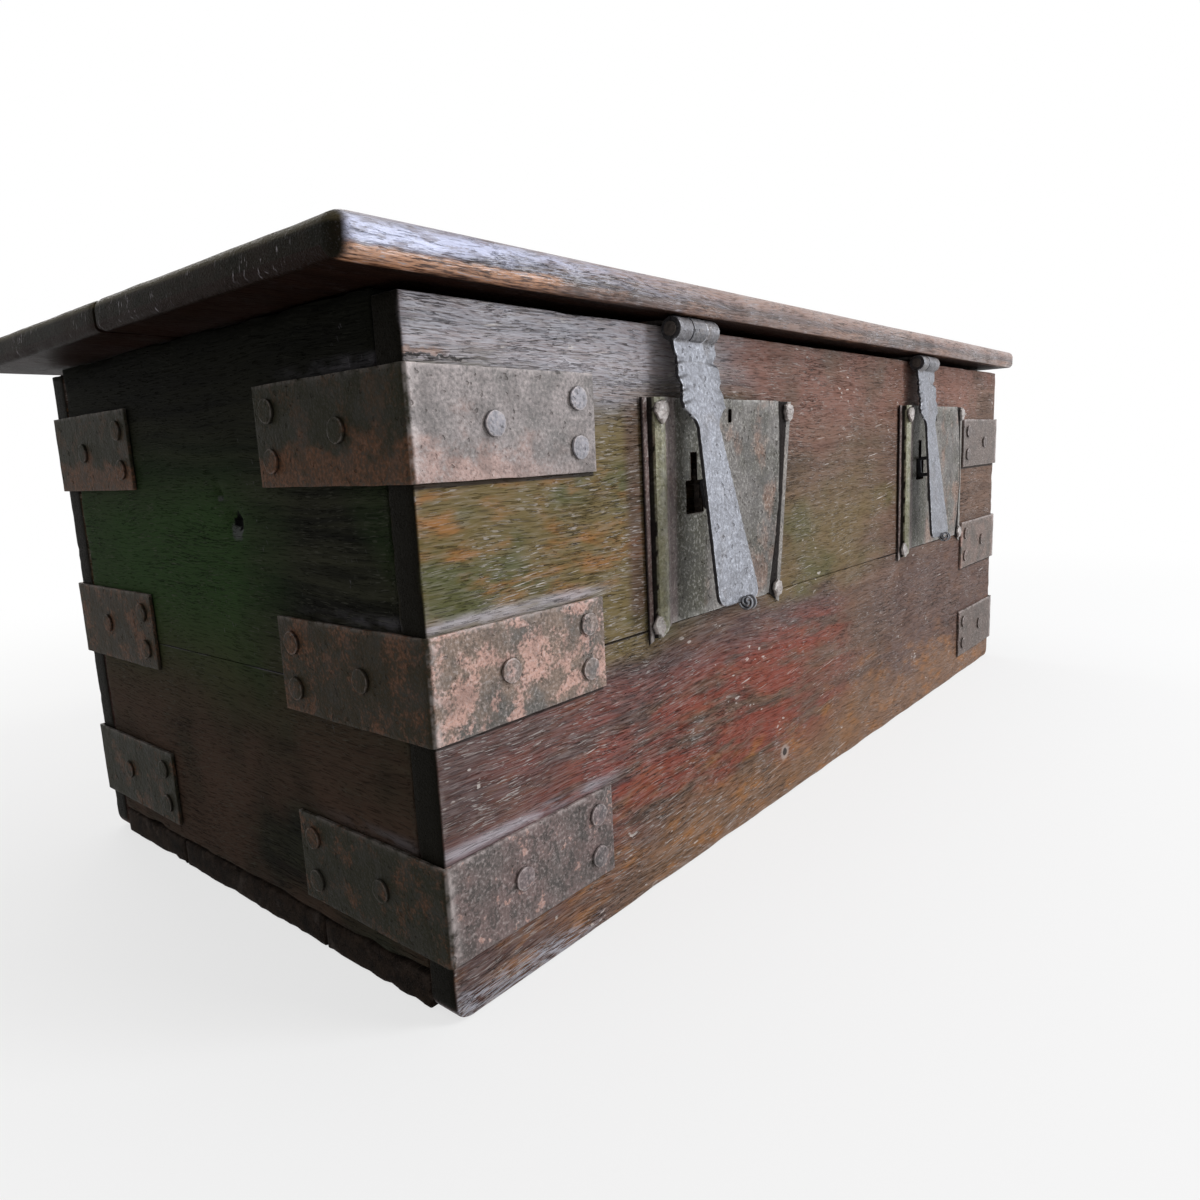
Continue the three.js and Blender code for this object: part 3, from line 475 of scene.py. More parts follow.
def wall_zones(here, grain, colour):
    """Olive with a painted green reflection and orange above, red and plum below, tan and silver
    wear at the foot, painted sheen at the top left and over the straps, and painted shadow by
    the left lock plate.
    """
    x, z, on_front, end = wall_place(here)
    stray = (grain.cloud(0.05, 3.0, (3.5, 1, 1), 2.5) - 0.5) * 0.10
    up = z + stray
    across = x + stray * 3.0
    lower = 1 - up.rise(0.175, 0.215)
    upper = 1 - lower
    stained = 0.25 + on_front * 0.75
    far = across.rise(0.25, 0.50)
    olive_left = (1 - across.rise(0.20, 0.32)) * (1 - up.rise(0.35, 0.40))
    olive_right = across.within(0.38, 0.64, 0.09) * (1 - up.rise(0.26, 0.36))
    olive = (olive_left + olive_right * 0.62).rise(0.0, 1.0) * upper * stained
    # Patches of painted green reflection in the olive
    green_reflection = here.cloud(0.06, 2.0, (1.6, 1, 1), 5.0).rise(0.46, 0.64) * olive
    maroon = upper * across.rise(0.27, 0.36) * up.rise(0.31, 0.37)
    maroon = maroon * here.cloud(0.09, 2.0, shift=1.2).rise(0.3, 0.6)
    left_plum = lower * (1 - across.rise(0.10, 0.26))
    top_plum = lower * up.within(0.150, 0.215, 0.02) * (1 - across.rise(0.45, 0.60))
    right_plum = lower * across.rise(0.50, 0.75) * 0.6
    plum = (left_plum + top_plum + right_plum).rise(0.0, 1.1)
    red = lower * across.within(0.06, 0.52, 0.07) * up.within(0.045, 0.165, 0.03)
    red = red * grain.cloud(0.018, 3.0, (5, 1, 1), 3.0).rise(0.36, 0.56)
    tan = (1 - up.rise(0.035, 0.075)) * across.rise(0.0, 0.25)
    amber = grain.cloud(0.010, 4.0, (3.5, 1, 1), 8.0).rise(0.40, 0.70)
    amber = amber * here.cloud(0.035, 2.0, (1.5, 1, 1), 1.9).rise(0.38, 0.60)
    mellow = olive_left * upper * up.within(0.245, 0.33, 0.02)
    mellow = mellow + (1 - up.rise(0.05, 0.11)) * 0.8 + lower * 0.15
    # Painted shadow of the left lock plate on the wood to its left
    plate_shadow = x.within(0.186, 0.205, 0.006) * z.within(0.215, 0.372, 0.012) * on_front
    # The grey-blue at the top left is a painted reflection, streaked with painted sheen
    top_left_sheen = (1 - across.rise(0.16, 0.40)) * up.rise(0.36, 0.40) * on_front
    colour = coated(
        colour,
        (far * on_front * 0.55, WALL_TONES["body"]),
        (olive * 0.9, WALL_OLIVE),
        (green_reflection * 0.8, WALL_GREEN_REFLECTION),
        (maroon * 0.75, WALL_MAROON),
        (plum * 0.85, WALL_PLUM),
        (red * 0.9 * stained, WALL_RED),
        (tan * 0.55, WALL_TAN),
        (amber * mellow * 0.85 * stained, WALL_ORANGE),
        (plate_shadow * 0.7, WALL_PLUM),
        (top_left_sheen * 0.55, WALL_SHEEN),
    )
    worn_foot = (1 - (z + stray * 0.2).rise(0.010, 0.022)) * (1 - across.rise(0.07, 0.16))
    sheen = ledge_sheen(here, x, z, on_front)
    face = on_front * (1 - end)
    wax = face * (0.24 + top_left_sheen * 0.6 + sheen * 0.5)
    # Silver: painted sheen at the top left and over the straps, wear at the foot, a little in the plum
    silver = (top_left_sheen * 0.65 + worn_foot * 0.9 + sheen * 0.4 + plum * 0.10) * face
    return colour, wax, silver, end + (1 - end) * far * 0.45


def wall_marks(here, colour):
    """Painted sheen on the ledges over the straps, painted shadow under the straps, scratches,
    chips, the open joint, a knot, dark ends.
    """
    x, z, on_front, end = wall_place(here)
    scored = here.cloud(1.0, 2.0, (0.040, 0.01, 0.0013), 6.6, (0, math.radians(6), 0)).rise(0.655, 0.70)
    scored = scored * here.cloud(0.05, 1.0, shift=9.1).rise(0.56, 0.66)
    chips = here.cloud(0.007, 2.0, (1.8, 1, 0.8), 3.9).rise(0.66, 0.71)
    chips = chips * here.cloud(0.08, 1.0, shift=4.4).rise(0.54, 0.66)
    opened = x.within(0.145, 0.205, 0.006) + x.within(0.640, 0.695, 0.006)
    opened = opened + here.cloud(0.04, 1.0).rise(0.55, 0.6)
    stray = here.cloud(0.008, 3.0, shift=2.9) * 0.008
    over_strap = z + stray - strap_tops[-1]
    split = over_strap.within(0.0085, 0.0110, 0.0006) * (1 - (x + stray).rise(0.025, 0.040))
    dark = z.within(FRONT_JOINT - 0.0007, FRONT_JOINT + 0.0007, 0.0004) * opened
    dark = dark + over_strap.within(0.0070, 0.0085, 0.0004) * (1 - x.rise(0.040, 0.055))
    # Painted shadow on the wood under each strap's lower edge
    for level in LEVELS:
        for side in ("left", "right"):
            low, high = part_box(f"corner_strap_front_{side}_{level}")
            beside = x.within(low.x - foot.x, high.x - foot.x, 0.001)
            dark = dark + z.within(low.z - 0.0022, low.z + 0.0010, 0.0008) * beside
    gap = here.away(FRONT_KNOT) + (here.cloud(0.006, 2.0) - 0.5) * 0.004
    dark = dark + 1 - gap.rise(0.0030, 0.0048)
    return coated(
        colour,
        # Painted sheen on the dust and wax above each strap
        (ledge_sheen(here, x, z, on_front) * 0.75, WALL_SHEEN),
        ((scored + chips).rise(0.0, 1.0) * 0.7, WALL_SCRATCH),
        (split * 0.45, WALL_ORANGE),
        ((1 - gap.rise(0.005, 0.010)) * 0.4, WALL_SCRATCH),
        (dark.rise(0.0, 1.0) * 0.9, WALL_TONES["deep"]),
        (end, WALL_END),
    )


def modify(piece, kind, **settings):
    """Applies one modifier to the piece in hand."""
    modifier = piece.modifiers.new(kind.lower(), kind)
    for key, value in settings.items():
        setattr(modifier, key, value)
    bpy.ops.object.modifier_apply(modifier=modifier.name)


def cut_through(piece, cutter):
    """Cuts a piece by another, which is then gone."""
    bpy.ops.object.select_all(action="DESELECT")
    bpy.context.view_layer.objects.active = piece
    piece.select_set(True)
    modify(piece, "BOOLEAN", operation="DIFFERENCE", solver="EXACT", object=cutter)
    bpy.data.objects.remove(cutter)


wall_finish = old_wood("wall_board_wood", 0, WALL_TONES, wall_zones, 0.55, wall_marks)
for seed, face in enumerate(("front", "back")):
    for level in ("lower", "upper"):
        node = f"{face}_board_{level}"
        low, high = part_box(node)
        board = sawn_block(f"{node}_worn", low, high)

        def at_foot(edge, middle, run):
            return abs(run.y) > 0.9 and middle.z < low.z + BOARD_ARRIS

        if level == "lower":
            bevel_where(board, at_foot, WORN_CORNER, 8)
        break_arrises(board, 0.7 * BOARD_ARRIS, FRONT_JOINT)
        if node == "front_board_upper":
            for middle in HASP_MIDDLES.values():
                start = Vector((middle, foot.y, 0.0))
                cut_through(board, sawn_block("recess", start + LOCK_RECESS_LOW, start + LOCK_RECESS_HIGH))
        for axis in (0, 2, 1):
            cut_evenly(board, axis, BOARD_SPACING)
        wear_board(board, 0, 0.0006, 0.0006, 21.0 + seed, FRONT_JOINT)
        stand_for(board, "chest", node, wall_finish)

# Corner straps: three flat iron bars are bent round each corner, and three nails with
# broad flat heads hold each leg. The iron is scaled and mottled, coppery brown where it
# is rubbed and nearly black where it is pitted.
STRAP_TONES = {
    "dark": (0.040, 0.038, 0.034),
    "body": (0.240, 0.170, 0.130),
    "bright": (0.560, 0.490, 0.470),
}
STRAP_FAR = (0.085, 0.058, 0.044)
STRAP_SHADED_SIDE_OLIVE = (0.018, 0.017, 0.009)
STRAP_SHADED_SIDE_RUST = (0.115, 0.054, 0.030)
STRAP_GREY = (0.290, 0.265, 0.265)
STRAP_SALMON = (0.600, 0.355, 0.290)
STRAP_SLATE = (0.105, 0.105, 0.098)
STRAP_PLUM = (0.165, 0.115, 0.112)
STRAP_NAIL = (0.350, 0.345, 0.385)
# The black of painted shade on iron
PAINTED_SHADE_BLACK = (0.008, 0.006, 0.006)
STRAP_LEVELS = (0.150, 0.290)
STRAP_THICKNESS = 0.003
STRAP_FACE = STRAP_THICKNESS + 0.0003
STRAP_BEND = 0.0035
STRAP_INNER_NAIL = 0.060
STRAP_NAIL_EDGE = 0.017
NAIL_RADIUS = 0.008
NAIL_HEIGHT = 0.0024
IRON_SPACING = 0.0032
QUARTER_TURN = math.pi / 2


def forged_iron(name, tones, zones, grit, metallic, roughness):
    """Forged iron: sandy scale, hammer marks and pits over the colours that its zones set, with
    painted shade where a piece keeps it.
    """
    finish, here = new_finish(name)
    sand = here.cloud(0.0024, 5.0)
    coarse = here.cloud(0.009, 3.0, shift=2.0)
    pits = here.cloud(0.0050, 1.0, shift=5.0).rise(0.66, 0.74)
    dents = here.cloud(0.022, 1.0, shift=9.0)
    stains = here.cloud(0.018, 4.0, shift=6.3)
    colour, shine, dim = zones(here, sand, tones["body"])
    clear = 1 - dim
    rubbed = here.painted("rubbed") * (0.25 + clear * 0.75)
    painted_shade = here.painted("painted_shade")
    colour = coated(
        colour,
        (sand.rise(0.50, 0.66) * clear * grit * 0.38, tones["bright"]),
        ((1 - sand.rise(0.34, 0.50)) * grit * 0.48, tones["dark"]),
        (pits * grit * 0.25, tones["dark"]),
        ((1 - stains.rise(0.34, 0.54)) * grit * 0.36, tones["dark"]),
        # Rubbed brightness: wear, and painted highlights on the straps' top edges and bends and the hasps'
        # arrises
        (rubbed * coarse.rise(0.35, 0.6) * 0.6, tones["bright"]),
        # Painted shade: under nail heads, in the plates' grooves and by their ridges, on the hasps
        (painted_shade * 0.93, PAINTED_SHADE_BLACK),
    )
    height = sand * 0.5 * grit + coarse * 0.8 - pits * 0.7 + dents * 0.9
    dullness = roughness + (sand - 0.5) * 0.25 + pits * 0.2 - rubbed * 0.12 + painted_shade * 0.3
    metal = metallic * shine * (1 - painted_shade)
    varying = {"Base Color": colour, "Roughness": dullness, "Metallic": metal}
    close_finish(here, varying, height, 1 - (dim + painted_shade * (1 - dim)), dry=0.04, glossy=0.35)
    return finish


def paint_points(piece, name, measure):
    """Keeps a value at each point of a piece, worked out from its place and its normal."""
    kept = piece.data.attributes.get(name) or piece.data.attributes.new(name, "FLOAT", "POINT")
    for vertex in piece.data.vertices:
        kept.data[vertex.index].value = measure(vertex.co, vertex.normal)


def round_bar(radius, length, place, sides, turn=(0, 0, 0), ends="NGON"):
    bpy.ops.object.select_all(action="DESELECT")
    bpy.ops.mesh.primitive_cylinder_add(
        vertices=sides, radius=radius, depth=length, location=place, rotation=turn, end_fill_type=ends
    )
    bpy.ops.object.transform_apply(location=True, rotation=True, scale=True)
    return bpy.context.object


def add_object(name, data):
    made = bpy.data.objects.new(name, data)
    bpy.context.collection.objects.link(made)
    return made


def nail_head(point, outward, radius, height, seed, sides=14, rough=0.07):
    """A broad forged head: a low disc, domed by insets and knocked out of round."""
    head = round_bar(radius, height * 0.8, (0, 0, height * 0.4), sides)
    open_with(head, "FACE", lambda face: face.normal.z > 0.9)
    for thickness, depth in ((0.14, 0.13), (0.34, 0.07), (0.28, 0.0)):
        bpy.ops.mesh.inset(thickness=radius * thickness, depth=height * depth)
    bpy.ops.mesh.select_all(action="SELECT")
    bpy.ops.mesh.subdivide(number_cuts=1, smoothness=0.0)
    bpy.ops.object.mode_set(mode="OBJECT")
    for vertex in head.data.vertices:
        place = vertex.co
        place.xy *= 1.04 - rough + rough * signed_noise(place, radius * 0.55, seed)
        if place.z > height * 0.5:
            place.z -= height * 2 * rough * abs(signed_noise(place, radius * 0.3, seed + 2.0))
    # Painted shade round the foot of each head, and a rubbed ring near its top
    paint_points(head, "painted_shade", lambda place, normal: 1.0 if place.z < height * 0.3 else 0.0)
    paint_points(head, "rubbed", lambda place, normal: 0.8 if height * 0.6 < place.z < height * 0.85 else 0.0)
    paint_points(head, "across", lambda place, normal: -1.0)
    turn = Vector((0, 0, 1)).rotation_difference(outward).to_matrix().to_4x4()
    head.data.transform(Matrix.Translation(point) @ turn)
    return head


def wear_iron(piece, amount, size, rub_test):
    """Hammers a piece: its points move in along their normals by a smooth noise."""
    normals = [vertex.normal.copy() for vertex in piece.data.vertices]
    paint_points(piece, "rubbed", rub_test)
    for vertex, normal in zip(piece.data.vertices, normals):
        dent = 0.5 + 0.5 * signed_noise(vertex.co, size, 31.0)
        fine = 0.5 + 0.5 * signed_noise(vertex.co, size * 0.3, 35.0)
        vertex.co -= normal * amount * (0.75 * dent + 0.25 * fine)


def join_pieces(pieces):
    bpy.ops.object.select_all(action="DESELECT")
    for piece in pieces:
        piece.select_set(True)
    bpy.context.view_layer.objects.active = pieces[0]
    bpy.ops.object.join()
    return pieces[0]


def thicken(piece, thickness, offset=None):
    """Gives a sheet its thickness, behind the side that faces forward or at an offset."""
    if offset is None:
        facing = sum((face.normal.y for face in piece.data.polygons), 0.0)
        offset = -1.0 if facing < 0 else 1.0
    modify(piece, "SOLIDIFY", thickness=thickness, offset=offset)


def bent_strap():
    """One strap round a corner at the origin, its legs along +X and +Y, its foot at zero."""
    bpy.ops.object.select_all(action="DESELECT")
    bpy.ops.mesh.primitive_plane_add(size=1, rotation=(QUARTER_TURN, 0, 0))
    strap = bpy.context.object
    bpy.ops.object.transform_apply(location=True, rotation=True, scale=True)
    inner_end = STRAP_BEND - STRAP_FACE
    for vertex in strap.data.vertices:
        x = inner_end if vertex.co.x < 0 else STRAP_LEG
        vertex.co = (x, -STRAP_FACE, 0.0 if vertex.co.z < 0 else STRAP_WIDTH)
    open_with(strap, "EDGE", lambda edge: all(abs(vertex.co.x - inner_end) < 1e-5 for vertex in edge.verts))
    bpy.ops.mesh.spin(steps=5, angle=QUARTER_TURN, center=(inner_end, inner_end, 0.0), axis=(0, 0, 1))
    bpy.ops.mesh.extrude_region_move(TRANSFORM_OT_translate={"value": (0, STRAP_LEG - inner_end, 0)})
    bpy.ops.mesh.select_all(action="SELECT")
    bpy.ops.mesh.remove_doubles(threshold=1e-5)
    bpy.ops.object.mode_set(mode="OBJECT")
    face_outward()
    thicken(strap, STRAP_THICKNESS)
    break_arrises(strap, 0.0006)
    for axis in (0, 1, 2):
        cut_evenly(strap, axis, IRON_SPACING)
    return strap


def strap_zones(here, sand, colour):
    """The high straps are grey, the middle ones mottled salmon and slate, the low ones plum; the
    legs on the chest's sides are darkened as painted shade, with rust in patches.
    """
    x = here.part(0)
    z = here.part(2)
    low = 1 - z.rise(STRAP_LEVELS[0] - 0.01, STRAP_LEVELS[0] + 0.01)
    high = z.rise(STRAP_LEVELS[1] - 0.01, STRAP_LEVELS[1] + 0.01)
    middle = 1 - low - high
    sandy = (sand - 0.5) * 0.22
    slate = (here.cloud(0.040, 3.0, shift=4.0) + sandy).rise(0.46, 0.64)
    broad = here.cloud(0.019, 5.0, (1.2, 1.2, 1), 12.0) + sandy * 1.4
    sunk = here.cloud(0.010, 3.0, shift=13.0) + sandy
    blotches = (1 - sunk.rise(0.40, 0.50)) * (low + middle * 0.5)
    far_in = x.rise(foot.x + 0.05, foot.x + 0.15)
    near_foot = (1 - (z + (broad - 0.5) * 0.12).rise(0.325, 0.360)) * (1 - far_in * 0.7)
    salmon = broad.rise(0.44, 0.60) * middle + sunk.rise(0.60, 0.68) * low * 0.75 + high * near_foot * 0.6
    nail = 1 - here.painted("across").rise(-0.5, -0.4)
    ends = (1 - x.rise(foot.x - 0.001, foot.x + 0.002)) + x.rise(chest_right - 0.002, chest_right + 0.001)
    side_stains = (here.cloud(0.026, 4.0, shift=14.0) + sandy * 1.5).rise(0.46, 0.66)
    high_foot = (1 - (z + (broad - 0.5) * 0.10).rise(0.338, 0.356)) * high
    rust = (side_stains * (0.75 - high * 0.35) + high_foot * 0.9 + middle * 0.25).rise(0.0, 1.1)
    rust = rust * (0.4 + sand.rise(0.35, 0.65) * 0.6)
    colour = coated(
        colour,
        (low * 0.85, STRAP_PLUM),
        (high * 0.80, STRAP_GREY),
        (slate * (0.45 + middle * 0.40), STRAP_SLATE),
        (blotches * 0.6, STRAP_TONES["dark"]),
        (salmon.rise(0.0, 1.1) * 0.85, STRAP_SALMON),
        (nail * (0.15 + high * 0.55), STRAP_NAIL),
        (x.rise(chest_right - 0.16, chest_right - 0.14) * 0.85, STRAP_FAR),
        # The legs on the chest's sides: darkened as painted shade, with rust in patches
        (ends, rust.tint(STRAP_SHADED_SIDE_OLIVE, STRAP_SHADED_SIDE_RUST)),
    )
    return colour, (0.35 + 0.65 * sand.rise(0.4, 0.7)) * (1 - ends * 0.9), ends * 0.93


low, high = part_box("corner_strap_front_left_low")
STRAP_LEG = high.x - foot.x
STRAP_WIDTH = high.z - low.z
STRAP_NAILS = [
    (STRAP_INNER_NAIL, STRAP_WIDTH / 2),
    (STRAP_LEG - STRAP_NAIL_EDGE, STRAP_NAIL_EDGE),
    (STRAP_LEG - STRAP_NAIL_EDGE, STRAP_WIDTH - STRAP_NAIL_EDGE),
]
strap_pattern = bent_strap()
strap_finish = forged_iron("corner_strap_iron", STRAP_TONES, strap_zones, 1.0, 0.35, 0.56)
chest_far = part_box("back_board_lower")[1]
corners = {
    "front_left": (foot.x, foot.y, 1, 1),
    "front_right": (chest_far.x, foot.y, -1, 1),
    "back_left": (foot.x, chest_far.y, 1, -1),
    "back_right": (chest_far.x, chest_far.y, -1, -1),
}
for corner, (corner_x, corner_y, side_x, side_y) in corners.items():
    for level in LEVELS:
        node = f"corner_strap_{corner}_{level}"
        low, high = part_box(node)
        strap = add_object(f"{node}_forged", strap_pattern.data.copy())
        strap.data.transform(Matrix.Diagonal((side_x, side_y, 1, 1)))
        strap.data.transform(Matrix.Translation((corner_x, corner_y, low.z)))
        if side_x * side_y < 0:
            strap.data.flip_normals()
        heads = []
        for along, up in STRAP_NAILS:
            on_front = Vector((corner_x + side_x * along, corner_y - side_y * STRAP_FACE, low.z + up))
            on_side = Vector((corner_x - side_x * STRAP_FACE, corner_y + side_y * along, low.z + up))
            seed = 40.0 + 7.3 * len(heads) + low.z * 100 + corner_x
            heads.append(nail_head(on_front, Vector((0, -side_y, 0)), NAIL_RADIUS, NAIL_HEIGHT, seed))
            heads.append(nail_head(on_side, Vector((-side_x, 0, 0)), NAIL_RADIUS, NAIL_HEIGHT, seed + 3))

        # Painted highlights on the top edge and the bend, where the bend is also worn; the lower edge is a
        # little rubbed
        def near_edge(point, normal):
            gap = min(point.z - low.z, high.z - point.z)
            bend = math.hypot(point.x - corner_x, point.y - corner_y)
            top = math.exp(-(high.z - point.z) / 0.0013)
            arris = math.exp(-max(0.0, bend - 0.003) / 0.002) if abs(normal.y) > abs(normal.x) else 0.0
            return min(1.5, 0.8 * top + 0.25 * math.exp(-gap / 0.0015) + 1.5 * arris)

        wear_iron(strap, 0.0006, 0.014, near_edge)
        for vertex in strap.data.vertices:
            gap = min(vertex.co.z - low.z, high.z - vertex.co.z)
            inward = 1.0 if vertex.co.z < (low.z + high.z) / 2 else -1.0
            edge_wander = 0.5 + 0.5 * signed_noise(vertex.co, 0.03, 51.0)
            vertex.co.z += inward * 0.0009 * edge_wander * math.exp(-gap / 0.006)
        join_pieces([strap] + heads)
        bpy.ops.object.shade_smooth_by_angle(angle=math.radians(38))
        stand_for(strap, "chest", node, strap_finish)
bpy.data.objects.remove(strap_pattern)

# Lock plates: sheet iron hammered over a form, with a rim, a tall bead, a long slope, a
# hollow and a far ridge, and nailed at its four corners. It is cut through for the hasp's
# staple, the key and a short slit, and its bottom edge is drawn down into two ears.
PLATE_TONES = {
    "dark": (0.012, 0.009, 0.008),
    "body": (0.140, 0.126, 0.114),
    "bright": (0.560, 0.540, 0.510),
}
PLATE_RIM = (0.120, 0.070, 0.062)
PLATE_OLIVE = (0.220, 0.210, 0.120)
PLATE_PLUM = (0.175, 0.128, 0.120)
PLATE_MOSS = (0.036, 0.032, 0.014)
PLATE_RUST = (0.260, 0.130, 0.080)
PLATE_FLANGE = (0.230, 0.210, 0.190)
PLATE_NAIL = (0.400, 0.355, 0.335)
PLATE_WIDTH = 0.227
PLATE_TOP = 0.374
PLATE_BOTTOM = 0.206
PLATE_EAR_DROP = 0.012
PLATE_EAR_WIDTH = 0.024
PLATE_FAR_RIDGE = 0.037
PLATE_BEAD = 0.0163
PLATE_DRAWN_IN = {"left": 0.025, "right": 0.0}
PLATE_SHEET = 0.002
PLATE_FLAT = 0.0023
PLATE_ROWS = 84
PLATE_STARTS = {"left": foot.x + 0.203, "right": foot.x + 0.693}
# Each stretch of the plate's section: its width, its steps, and how proud it ends
PLATE_SECTION = [
    (0.0026, 3, 0.0013),
    (0.0036, 3, 0.0012),
    (0.0008, 2, 0.0000),
    (0.0006, 1, 0.0000),
    (0.0014, 4, 0.0052),
    (0.0076, 7, 0.0072),
    (0.0060, 5, 0.0060),
    (0.0075, 6, 0.0030),
    (0.0080, 6, 0.0026),
    (0.0908, 44, 0.0026),
    (0.0625, 30, 0.0050),
    (0.0060, 5, 0.0068),
    (0.0046, 4, 0.0068),
    (0.0014, 3, 0.0000),
    (0.0236, 12, 0.0000),
]
# Where painted shade lies across the plate: its outer edge, its groove, and the flange beside the far ridge
PLATE_SHADE_LINES = [(-0.001, 0.0014), (0.0060, 0.0085), (0.1995, 0.2200)]
# Each nail's place across the plate and up, how proud it stands, and its radius
PLATE_NAILS = [
    (0.014, PLATE_TOP - 0.011, 0.0072, 0.0105),
    (0.011, PLATE_BOTTOM + 0.002, 0.0030, 0.0105),
    (0.2185, PLATE_TOP - 0.010, 0.0010, 0.0100),
    (0.2165, PLATE_BOTTOM + 0.002, 0.0010, 0.0095),
]
PLATE_NAIL_HEIGHT = 0.004
KEY_OFFSET = 0.043
KEY_RADIUS = 0.006
KEY_EYE = 0.279
CUT_AHEAD = 0.03
CUT_BEHIND = 0.002
# The staple's slot and its neck, the key's slot and a slit: how far each lies from the
# hasp's middle, half its width, its foot and its head
PLATE_CUTS = [
    (0.010, 0.0115, 0.2875, 0.312),
    (0.010, 0.004, 0.311, 0.333),
    (KEY_OFFSET, 0.00325, 0.259, KEY_EYE),
    (0.064, 0.002, 0.356, 0.366),
]


def shaped_grid(name, columns, rows, shape):
    """A grid whose points a function places, by their column and their row."""
    bpy.ops.object.select_all(action="DESELECT")
    bpy.ops.mesh.primitive_grid_add(x_subdivisions=columns, y_subdivisions=rows, size=1)
    grid = bpy.context.object
    grid.name = name
    for vertex in grid.data.vertices:
        row, column = divmod(vertex.index, columns + 1)
        vertex.co = shape(column, row)
    return grid


def plate_columns():
    """Where each column of the plate stands from its left edge, and how proud it is."""
    columns = [(0.0, 0.0)]
    start = 0.0
    proud = 0.0
    for width, steps, end in PLATE_SECTION:
        for step in range(1, steps + 1):
            share = step / steps
            eased = share * share * (3 - 2 * share) if width > 0.002 else share
            columns.append((start + width * share, proud + (end - proud) * eased))
        start += width
        proud = end
    return columns


def plate_point(side, across, proud, height):
    """A place on a plate, whose far edge may be drawn in towards its foot."""
    down = (PLATE_TOP - height) / (PLATE_TOP - PLATE_BOTTOM)
    x = PLATE_STARTS[side] + across - PLATE_DRAWN_IN[side] * down * across / PLATE_WIDTH
    return Vector((x, foot.y - PLATE_FLAT - proud, height))


def dished_plate(side):
    """A plate's sheet, with its ears, and its far ridge sinking towards both ends."""
    columns = plate_columns()

    def pressed(column, row):
        across, proud = columns[column]
        up = row / PLATE_ROWS
        from_edge = min(across, PLATE_WIDTH - across)
        low = PLATE_BOTTOM - PLATE_EAR_DROP * max(0.0, 1 - from_edge / PLATE_EAR_WIDTH)
        if across > PLATE_WIDTH - PLATE_FAR_RIDGE:
            proud *= 0.3 + 0.7 * math.sin(math.pi * up)
        return plate_point(side, across, proud, low + (PLATE_TOP - low) * up)

    plate = shaped_grid(f"lock_plate_{side}_dished", len(columns) - 1, PLATE_ROWS, pressed)
    kept = plate.data.attributes.new("across", "FLOAT", "POINT")
    for index, mark in enumerate(kept.data):
        mark.value = columns[index % len(columns)][0]
    thicken(plate, PLATE_SHEET)
    return plate


def plate_zones(here, sand, colour):
    """Stripes across the plate: rim, olive bead, plum slope, mossy hollow, pitted grey, flange."""
    across = here.painted("across") + (here.cloud(0.02, 2.0) - 0.5) * 0.003
    sandy = (sand - 0.5) * 0.25
    rust = (here.cloud(0.030, 3.0, (1, 1, 1.6), 7.0) + sandy).rise(0.50, 0.66)
    mossy = (here.cloud(0.035, 3.0, shift=3.0) + sandy).rise(0.45, 0.60)
    colour = coated(
        colour,
        (mossy * 0.55, PLATE_MOSS),
        (rust * 0.55, PLATE_RUST),
        (across.within(0.036, 0.085, 0.008), PLATE_MOSS),
        (across.within(0.0210, 0.0385, 0.003) * 0.90, PLATE_PLUM),
        (across.within(0.0080, 0.0215, 0.0015) * 0.90, PLATE_OLIVE),
        ((1 - across.rise(0.0074, 0.0084)) * 0.85, PLATE_RIM),
        (across.rise(0.2040, 0.2080) * 0.80, PLATE_FLANGE),
        ((1 - across.rise(-0.5, -0.4)) * 0.90, PLATE_NAIL),
    )
    return colour, 0.3 + 0.7 * sand.rise(0.45, 0.7), 0.0


plate_finish = forged_iron("lock_plate_iron", PLATE_TONES, plate_zones, 0.85, 0.35, 0.48)
for side, middle in HASP_MIDDLES.items():
    plate = dished_plate(side)
    for offset, half_width, low_z, high_z in PLATE_CUTS:
        start = Vector((middle + offset - half_width, foot.y - CUT_AHEAD, low_z))
        end = Vector((middle + offset + half_width, foot.y + CUT_BEHIND, high_z))
        cut_through(plate, sawn_block("cut", start, end))
    eye = (middle + KEY_OFFSET, foot.y - 0.01, KEY_EYE)
    cut_through(plate, round_bar(KEY_RADIUS, 0.04, eye, 32, turn=(QUARTER_TURN, 0, 0)))

    def on_ridge(point, normal):
        bead = hump(point.x - PLATE_STARTS[side] - PLATE_BEAD, 0.004)
        top = math.exp(-(PLATE_TOP - point.z) / 0.003)
        foot_edge = math.exp(-max(0.0, point.z - PLATE_BOTTOM) / 0.004)
        return min(1.0, 0.35 * bead + 0.7 * top + 0.5 * foot_edge)

    wear_iron(plate, 0.0009, 0.013, on_ridge)
    # Painted shade along the plate's outer edge, its groove and the flange beside the far ridge
    dark = plate.data.attributes.new("painted_shade", "FLOAT", "POINT")
    for kept, mark, vertex in zip(plate.data.attributes["across"].data, dark.data, plate.data.vertices):
        wander = kept.value + 0.0004 * signed_noise(vertex.co, 0.012, 71.0)
        mark.value = 1.0 if any(near < wander < far for near, far in PLATE_SHADE_LINES) else 0.0
    heads = [
        nail_head(
            plate_point(side, across, proud - 0.0004, z), Vector((0, -1, 0)), radius, PLATE_NAIL_HEIGHT,
            seed=across * 900 + z, sides=8, rough=0.28,
        )
        for across, z, proud, radius in PLATE_NAILS
    ]
    join_pieces([plate] + heads)
    bpy.ops.object.shade_smooth_by_angle(angle=math.radians(38))
    stand_for(plate, "chest", f"lock_plate_{side}", plate_finish)

